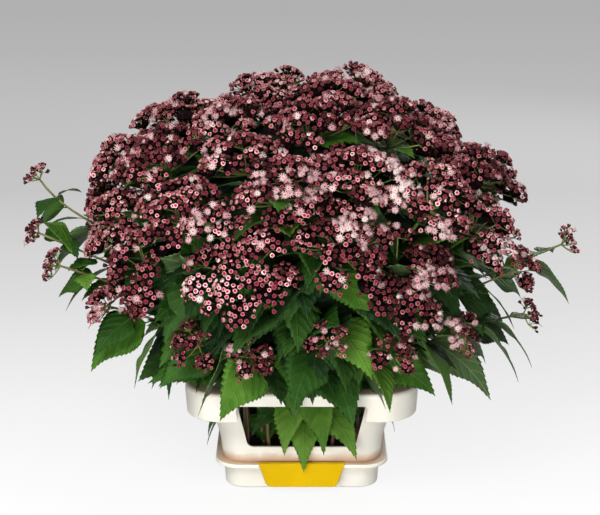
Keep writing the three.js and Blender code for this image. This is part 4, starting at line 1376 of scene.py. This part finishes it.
# Leaves in pairs up each branch, each pair across the last, which fill the gaps between the heads.
BRANCH_PAIRS = [0.5, 0.7, 0.88, 0.97]
SMALL_BRANCH_PAIRS = [0.7, 0.88]
BRANCH_LEAF = 94
SMALL_BRANCH_LEAF = 72
SHORTER_UP = 28
SMALL_TEETH = 7


def branch_leaves(branch):
    pairs, longest = BRANCH_PAIRS, BRANCH_LEAF
    if is_small(branch["head"]):
        pairs, longest = SMALL_BRANCH_PAIRS, SMALL_BRANCH_LEAF
    parts = []
    facing = chance.uniform(0, 180)
    for share in pairs:
        facing += 90
        for turn in (0, 180):
            leaf = free_leaf(
                bezier(branch["curve"], share),
                about(facing + turn, 20),
                (longest - SHORTER_UP * share) * chance.uniform(0.8, 1.15),
                about(26, 18),
                52 + chance.uniform(-22, 30),
                about(0, 25),
            )
            parts.append(toothed_leaf(leaf, SMALL_TEETH, 2, chance.uniform(0.1, 0.9), LEAF))
    return parts


# Further shoots of the plant, which rise from the soil into the foliage close behind the collar's windows.
SIDE_SHOOTS = 5
INSIDE_WALL = 91
SHOOT_MARGIN = 6
SHOOT_FOOT = 44
SHOOT_TOP = 176
SHOOT_STEPS = 9


def side_shoots(plant):
    curves = []
    for i in range(SIDE_SHOOTS):
        bearing = about(plant_bearing(plant) + SECTOR * ((i + 0.5) / SIDE_SHOOTS - 0.5), 3)
        turn = math.radians(bearing)
        wall = (INSIDE_WALL - SHOOT_MARGIN) / max(abs(math.cos(turn)), abs(math.sin(turn)))
        reach = wall * chance.uniform(0.74, 0.96)
        foot = polar(bearing, reach, SHOOT_FOOT)
        top = polar(about(bearing, 12), reach * chance.uniform(0.86, 1.08), SHOOT_TOP)
        bow = polar(bearing + 90, about(0, 14), 0)
        curves.append([foot, foot + 44 * UP + bow, top - 44 * UP + bow, top])
    return curves


def shoot_tubes(curves):
    parts = []
    for curve in curves:
        points = [bezier(curve, s) for s in np.linspace(0, 1, SHOOT_STEPS)]
        thick = chance.uniform(1.8, 2.8)
        radii = np.linspace(thick, 0.8 * thick, SHOOT_STEPS)
        parts.append(tube(points, radii, 6, STEM, chance.uniform(0.0, 0.9)))
    return parts


# Small leaves low on those shoots, inside the collar.
INSIDE_LEAVES = 14
INSIDE_TRIES = 30
INSIDE_LOW = 54


def inside_leaves(plant, curves):
    parts = []
    for _ in range(INSIDE_LEAVES):
        for _ in range(INSIDE_TRIES):
            leaf = free_leaf(
                bezier(curves[chance.integers(len(curves))], chance.uniform(0.08, 0.8)),
                about(plant_bearing(plant), 170),
                chance.uniform(44, 72),
                chance.uniform(-20, 40),
                chance.uniform(20, 90),
                about(0, 60),
            )
            points = plain_leaf(leaf)[0]
            if np.abs(points[:, :2]).max() < INSIDE_WALL and points[:, 2].min() > INSIDE_LOW:
                parts.append(toothed_leaf(leaf, SMALL_TEETH, 2, chance.uniform(0.2, 1.0), LEAF))
                break
    return parts


OUTER_TEETH = 15


def plant_piece(plant):
    curves = side_shoots(plant)
    parts = [heart(plant)] + inner_leaves(plant) + shoot_tubes(curves) + inside_leaves(plant, curves)
    for branch in stems[plant][3:]:
        parts += branch_leaves(branch)
    for stem in stems[plant]:
        parts.append(stem_tube(stem))
    for leaf in leaves[plant]:
        tint = chance.uniform(0.0, 0.96)
        parts.append(toothed_leaf(leaf, OUTER_TEETH, 3, tint, LEAF))
    number = f"{plant + 1:02d}"
    make_piece(f"foliage_{number}", joined(parts), plant_materials, f"leafy_stem_{number}")


for plant in range(PLANTS):
    plant_piece(plant)


# The pot. Profiles are half widths and heights with a rounding at each corner.


def rounded(corners, closed=True, steps=4):
    points = []
    count = len(corners)
    for i, (x, y, radius) in enumerate(corners):
        here = np.array([x, y], float)
        if radius == 0 or (not closed and i in (0, count - 1)):
            points.append(here)
            continue
        start = here + unit(np.array(corners[i - 1][:2], float) - here) * radius
        end = here + unit(np.array(corners[(i + 1) % count][:2], float) - here) * radius
        for s in np.arange(steps + 1) / steps:
            points.append((1 - s) ** 2 * start + 2 * s * (1 - s) * here + s**2 * end)
    return np.array(points)


def corner_at(half):
    share = (half - COLLAR_FOOT_HALF) / (LIP_HALF - COLLAR_FOOT_HALF)
    return FOOT_CORNER + (LIP_CORNER - FOOT_CORNER) * share


CORNER_STEPS = 10
STRAIGHT_STEPS = 8


def square_ring(half, height, corner):
    points = []
    reach = (half - corner) * math.sqrt(2)

    def corner_points(side, turn):
        diagonal = (side + 0.5) * math.pi / 2
        x = reach * math.cos(diagonal) + corner * np.cos(turn)
        return np.stack([x, reach * math.sin(diagonal) + corner * np.sin(turn)], -1)

    for side in range(4):
        arc = corner_points(side, (side + np.arange(CORNER_STEPS + 1) / CORNER_STEPS) * math.pi / 2)
        end = corner_points(side + 1, (side + 1) * math.pi / 2)
        shares = np.arange(1, STRAIGHT_STEPS)[:, None] / STRAIGHT_STEPS
        points += [arc, arc[-1] + (end - arc[-1]) * shares]
    points = np.concatenate(points)
    return np.concatenate([points, np.full((len(points), 1), height)], 1)


# The faces of a body made of rings, which comes back to its first ring or has a flat end at both.
def ring_faces(levels, around, endless=False):
    if endless:
        return (bands(levels + 1, around) % (levels * around)).tolist()
    last = (levels - 1) * around
    ends = [list(range(around))[::-1], list(range(last, last + around))]
    return bands(levels, around).tolist() + ends


def solid_object(name, points, faces):
    mesh = bpy.data.meshes.new(name)
    mesh.from_pydata((np.asarray(points) / 1000).tolist(), [], faces)
    outward = bmesh.new()
    outward.from_mesh(mesh)
    bmesh.ops.recalc_face_normals(outward, faces=outward.faces)
    outward.to_mesh(mesh)
    outward.free()
    return linked(name, mesh)


def pot_object(name, profile, endless):
    rings = [square_ring(half, height, corner_at(half)) for half, height in profile]
    return solid_object(name, np.concatenate(rings), ring_faces(len(rings), len(rings[0]), endless))


def finish_pot_piece(obj, material, replaced, angle=32):
    obj.data.materials.clear()
    obj.data.materials.append(material)
    smooth(obj.data)
    obj.data.polygons.foreach_set("material_index", np.zeros(len(obj.data.polygons), np.int32))
    obj.data.set_sharp_from_angle(angle=math.radians(angle))
    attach(obj, "root")
    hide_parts(replaced)


# Cuts an upright outline through one side of the pot, turned to that side.
def cut_through(obj, outline, near, far, turn):
    points = [[x, -reach, z] for reach in (near, far) for x, z in outline]
    cos, sin = math.cos(turn), math.sin(turn)
    points = np.array(points) @ np.array([[cos, sin, 0], [-sin, cos, 0], [0, 0, 1]])
    cutter = solid_object("cutter", points, ring_faces(2, len(outline)))
    change = obj.modifiers.new("cut", "BOOLEAN")
    change.operation = "DIFFERENCE"
    change.solver = "EXACT"
    change.object = cutter
    graph = bpy.context.evaluated_depsgraph_get()
    made = bpy.data.meshes.new_from_object(obj.evaluated_get(graph))
    obj.modifiers.clear()
    obj.data = made
    bpy.data.objects.remove(cutter)


# Moulded plastic: cloudy and specked, with a brown tint between two heights where it has one,
# which is partly a stain and partly painted contact shadow.
STAIN_AND_SHADE_BROWN = (0.42, 0.20, 0.08)


def pot_plastic(name, colour, stain_shade_low=0, stain_shade_high=1, stain_shade_strength=0.0):
    material, tree, inputs = start_material(name)
    cloud = noise(tree, 22, 5)
    speck = noise(tree, 420, 3)
    height = swayed(split(object_place(tree))["Z"], cloud, 0.03)
    stain_and_shade = times(spread(height, stain_shade_high / 1000, stain_shade_low / 1000), times(cloud, stain_shade_strength))
    worn = ramp(cloud, [(0.3, *(0.93 * c for c in colour)), (0.7, *colour)])
    marks = ramp(speck, [(0.66, 1, 1, 1), (0.8, 0.86, 0.8, 0.72)])
    tone = mixed(1.0, mixed(stain_and_shade, worn, STAIN_AND_SHADE_BROWN), marks, "MULTIPLY")
    feed(inputs["Subsurface Weight"], 0.08)
    inputs["Subsurface Radius"].default_value = (0.004, 0.003, 0.002)
    surface(inputs, tone, plus(times(cloud, 0.2), 0.36), 0.5, speck, 0.0002, 0.25)
    return material


WARM_WHITE = (0.86, 0.83, 0.75)
# On the collar the brown tint is strongest at its foot on the ledge: staining and painted contact shadow
# together.
collar_plastic = pot_plastic("collar_plastic", WARM_WHITE, 36, 50, 2.0)
tray_plastic = pot_plastic("tray_plastic", WARM_WHITE)

# The lip's flat top and the ledge's top are brown, and the slots are lined with rust brown.
brown_top = pot_plastic("brown_top", (0.64, 0.49, 0.36))
slot_rust = pot_plastic("slot_rust", (0.42, 0.16, 0.06))


# Gives one more material to the faces of a pot piece whose middles, in millimetres, pass a test. Faces that
# look up have an upward part above LEVEL.
LEVEL = 0.95
NEAR = 0.3


def recolour_faces(obj, material, chosen):
    obj.data.materials.append(material)
    for face in obj.data.polygons:
        if chosen(1000 * face.center, face.normal.z):
            face.material_index = len(obj.data.materials) - 1


def in_slot(place, up):
    x, y, z = place
    if abs(y) > abs(x):
        reach, aside = abs(y), -x * math.copysign(1, y)
    else:
        reach, aside = abs(x), y * math.copysign(1, x)
    near = abs(reach - LIP_HALF + SLOT_INSET) < SLOT_WIDTH / 2 + 0.2
    along = any(abs(aside - middle) < SLOT_LENGTH / 2 + 0.2 for middle in SLOT_PLACES)
    return near and along and up < 0.9 and LIP_HEIGHT - COLLAR_WALL - 0.1 < z < LIP_HEIGHT - 0.1


def on_lip(place, up):
    return place.z > LIP_HEIGHT - NEAR and up > LEVEL and max(abs(place.x), abs(place.y)) < LIP_HALF - 4


def on_ledge(place, up):
    return place.z > TRAY_HEIGHT - NEAR and up > LEVEL


roof = LIP_HEIGHT - COLLAR_WALL
skirt = LIP_HEIGHT - LIP_SKIRT
foot = TRAY_HEIGHT + GAP
collar_profile = rounded([
    [COLLAR_FOOT_HALF - COLLAR_WALL, foot, 0.8],
    [COLLAR_FOOT_HALF, foot, 0.8],
    [COLLAR_WAIST_HALF, COLLAR_WAIST_HEIGHT, 9],
    [COLLAR_TOP_HALF, roof, 3],
    [LIP_HALF - COLLAR_WALL, roof, 2.5],
    [LIP_HALF - COLLAR_WALL - LIP_DRAFT, skirt, 1.3],
    [LIP_HALF - LIP_DRAFT, skirt, 1.3],
    [LIP_HALF, LIP_HEIGHT, 6],
    [COLLAR_TOP_HALF - COLLAR_WALL, LIP_HEIGHT, 3],
    [COLLAR_WAIST_HALF - COLLAR_WALL, COLLAR_WAIST_HEIGHT, 9],
])
collar = pot_object("collar_shell", collar_profile, True)
window_corners = [
    [-WINDOW_LOW_HALF, WINDOW_LOW, WINDOW_CORNER],
    [WINDOW_LOW_HALF, WINDOW_LOW, WINDOW_CORNER],
    [WINDOW_HIGH_HALF, WINDOW_HIGH, WINDOW_CORNER],
    [-WINDOW_HIGH_HALF, WINDOW_HIGH, WINDOW_CORNER],
]
window = rounded(window_corners, steps=6)
half_long, half_wide = SLOT_LENGTH / 2, SLOT_WIDTH / 2
slot_reach = LIP_HALF - SLOT_INSET
SLOT_CUT = 9
low = LIP_HEIGHT - 3 * COLLAR_WALL / 2
high = low + SLOT_CUT
for side in range(4):
    turn = side * math.pi / 2
    cut_through(collar, window, 60, LIP_HALF + 10, turn)
    for place in SLOT_PLACES:
        left, right = place - half_long, place + half_long
        outline = [[left, low], [right, low], [right, high], [left, high]]
        cut_through(collar, outline, slot_reach - half_wide, slot_reach + half_wide, turn)
finish_pot_piece(collar, collar_plastic, "collar")
recolour_faces(collar, brown_top, on_lip)
recolour_faces(collar, slot_rust, in_slot)

tray_inner = TRAY_HALF - TRAY_WALL
ledge_under = TRAY_HEIGHT - LEDGE_THICK
tray_corners = [
    [TRAY_HALF - TRAY_TAPER - 4, 0, 0],
    [TRAY_HALF - TRAY_TAPER, 0, 3],
    [TRAY_HALF, ledge_under, 2],
    [LEDGE_HALF, ledge_under, 1.2],
    [LEDGE_HALF, TRAY_HEIGHT, 1.6],
    [tray_inner, TRAY_HEIGHT, 1],
    [tray_inner - TRAY_TAPER, TRAY_WALL, 3],
    [tray_inner - TRAY_TAPER - 6, TRAY_WALL, 0],
]
tray = pot_object("tray_shell", rounded(tray_corners, closed=False), False)
finish_pot_piece(tray, tray_plastic, "tray")
recolour_faces(tray, brown_top, on_ledge)

# The label card: bare yellow card with a faint fibre, its foot's corners rounded off.
label_yellow, tree, inputs = start_material("label_yellow")
fibre = noise(tree, 260, 6)
tone = ramp(noise(tree, 30, 3), [(0.25, 0.60, 0.37, 0.001), (0.75, 0.66, 0.42, 0.002)])
card_tone = mixed(times(fibre, 0.08), tone, (0.80, 0.60, 0.05))
surface(inputs, card_tone, plus(times(fibre, 0.2), 0.28), 0.03, fibre, 0.0002, 0.3)

LABEL_HALF = 53
LABEL_FOOT_HALF = 45
LABEL_HEIGHT = 31
LABEL_THICK = 2
LABEL_HOOK = 5
LABEL_CORNER = 8
LABEL_COLUMNS = 37
label_top = TRAY_HEIGHT + GAP + LABEL_THICK
label_face = LEDGE_HALF + GAP
label_profile = rounded([
    [label_face, label_top - LABEL_HEIGHT, 0.6],
    [label_face, label_top - LABEL_THICK, 0.5],
    [label_face - LABEL_HOOK, label_top - LABEL_THICK, 0.5],
    [label_face - LABEL_HOOK, label_top, 0.8],
    [label_face + LABEL_THICK, label_top, 1.8],
    [label_face + LABEL_THICK, label_top - LABEL_HEIGHT, 0.6],
])
label_points = []
for s in np.sin(np.linspace(-math.pi / 2, math.pi / 2, LABEL_COLUMNS)):
    for reach, height in label_profile:
        low = clamp((label_top - height) / LABEL_HEIGHT, 0, 1)
        half = LABEL_HALF + (LABEL_FOOT_HALF - LABEL_HALF) * low
        inward = min(LABEL_CORNER, half * (1 - abs(s)))
        trim = LABEL_CORNER - math.sqrt(LABEL_CORNER**2 - (LABEL_CORNER - inward) ** 2)
        label_points.append([s * half, -reach, height + trim * low])
label = solid_object("label_plate", label_points, ring_faces(LABEL_COLUMNS, len(label_profile)))
finish_pot_piece(label, label_yellow, "label_card", 40)

# The soil: crumbly, its surface broken up by waves and small chance lumps.
SOIL_HEIGHT = 46
SOIL_CROWN = 4
SOIL_FALL = 1
SOIL_SLOPE = 33
SOIL_RINGS = 46
SOIL_WAVES = 0.9
SOIL_LUMPS = 0.45
soil_inner = TRAY_HALF - TRAY_WALL - GAP - SOIL_FALL
soil_rows = []
for ring in range(SOIL_RINGS + 1):
    share = ring / SOIL_RINGS
    half = max(0.5, soil_inner * (1 - share))
    height = SOIL_HEIGHT - SOIL_FALL + SOIL_CROWN * min(1, share * soil_inner / SOIL_SLOPE)
    points = square_ring(half, height, min(half * 0.98, corner_at(soil_inner)))
    waves = SOIL_WAVES * np.sin(0.9 * points[:, 0] + 2) * np.sin(0.8 * points[:, 1])
    points[:, 2] += (waves + chance.normal(0, SOIL_LUMPS, len(points))) * min(1, 6 * share) - 1.0
    soil_rows.append(points)
soil_side = soil_rows[0].copy()
soil_side[:, 2] = TRAY_WALL + GAP
soil_rows.insert(0, soil_side)
soil_faces = ring_faces(len(soil_rows), len(soil_side))
soil = solid_object("soil_surface", np.concatenate(soil_rows), soil_faces)
finish_pot_piece(soil, soil_peat, "soil", 180)

# The stage: a round floor that curves up into a wall. Its brightness is a painted glow, lighter near the
# viewer and greyer far behind, and its light isn't taken up by the plant.
FLOOR_REACH = 4000
WALL_BEND = 800
WALL_TOP = 3200
BEND_STEPS = 12
STAGE_SIDES = 60
FLOOR_DROP = 0.5
STAGE_DEPTHS = (-0.5, 4.5)
STAGE_GLOW = [
    (0.071, 0.898), (0.136, 0.803), (0.233, 0.641), (0.375, 0.499),
    (0.567, 0.481), (0.727, 0.447), (0.9, 0.424),
]

sweep = [[reach, 0] for reach in np.linspace(0.1, FLOOR_REACH, 18)]
for step in range(1, BEND_STEPS + 1):
    turn = step / BEND_STEPS * math.pi / 2
    sweep.append([FLOOR_REACH + WALL_BEND * math.sin(turn), WALL_BEND * (1 - math.cos(turn))])
sweep.append([FLOOR_REACH + WALL_BEND, WALL_TOP])
turns = [i * 360 / STAGE_SIDES for i in range(STAGE_SIDES)]
points = [polar(turn, reach, height - FLOOR_DROP) for reach, height in sweep for turn in turns]
backdrop = solid_object("backdrop", points, lathe_faces(len(sweep), STAGE_SIDES).tolist())
smooth(backdrop.data)
backdrop.visible_diffuse = False
paper, tree, inputs = start_material("backdrop_painted_glow")
depth = spread(split(object_place(tree))["Y"], *STAGE_DEPTHS)
# Painted light: the stage's glow, brighter near the viewer than far behind.
feed(inputs["Emission Color"], ramp(depth, [(place, level, level, level) for place, level in STAGE_GLOW]))
feed(inputs["Emission Strength"], 1.0)
feed(inputs["Base Color"], (0.08, 0.08, 0.08))
feed(inputs["Roughness"], 1.0)
feed(inputs["Specular IOR Level"], 0.0)
backdrop.data.materials.append(paper)


def area_light(name, place, aim, size, watts, colour=(1, 1, 1)):
    lamp = bpy.data.lights.new(name, "AREA")
    lamp.shape = "RECTANGLE"
    lamp.size, lamp.size_y = size
    lamp.energy = watts
    lamp.color = colour
    obj = linked(name, lamp)
    obj.location = [value / 1000 for value in place]
    toward = np.array(aim, float) - np.array(place, float)
    turn = math.atan2(toward[1], toward[0])
    down = math.atan2(-toward[2], math.hypot(toward[0], toward[1]))
    obj.rotation_euler = (math.pi / 2 - down, 0, turn - math.pi / 2)


area_light("key", (-700, -1500, 1900), (0, 0, 260), (1.1, 0.9), 47, (1, 0.985, 0.96))
area_light("fill", (1300, -1500, 700), (0, 0, 250), (1.0, 1.0), 5, (0.98, 0.99, 1))
area_light("low", (-150, -1300, 260), (0, 0, 110), (0.9, 0.3), 14, (1, 0.99, 0.96))
area_light("top", (0, 300, 2300), (0, 0, 300), (1.4, 1.4), 15)
area_light("back", (900, 1900, 1100), (0, 0, 250), (1.2, 1.0), 28)

world = bpy.data.worlds.new("studio")
world.use_nodes = True
world.node_tree.nodes["Background"].inputs["Color"].default_value = (1, 1, 0.98, 1)
world.node_tree.nodes["Background"].inputs["Strength"].default_value = 0.09
bpy.context.scene.world = world
bpy.context.scene.view_settings.view_transform = "Standard"

# The camera stands 2 m from the plant and looks down on it, as the photograph does.
LOOK_DOWN = 17
camera_data = bpy.data.cameras.new("camera")
camera_data.lens = 96
camera_data.sensor_width = 36
camera = linked("camera", camera_data)
camera.location = (-0.002, -1.9126, 0.8547)
camera.rotation_euler = (math.radians(90 - LOOK_DOWN), 0, 0)
bpy.context.scene.camera = camera
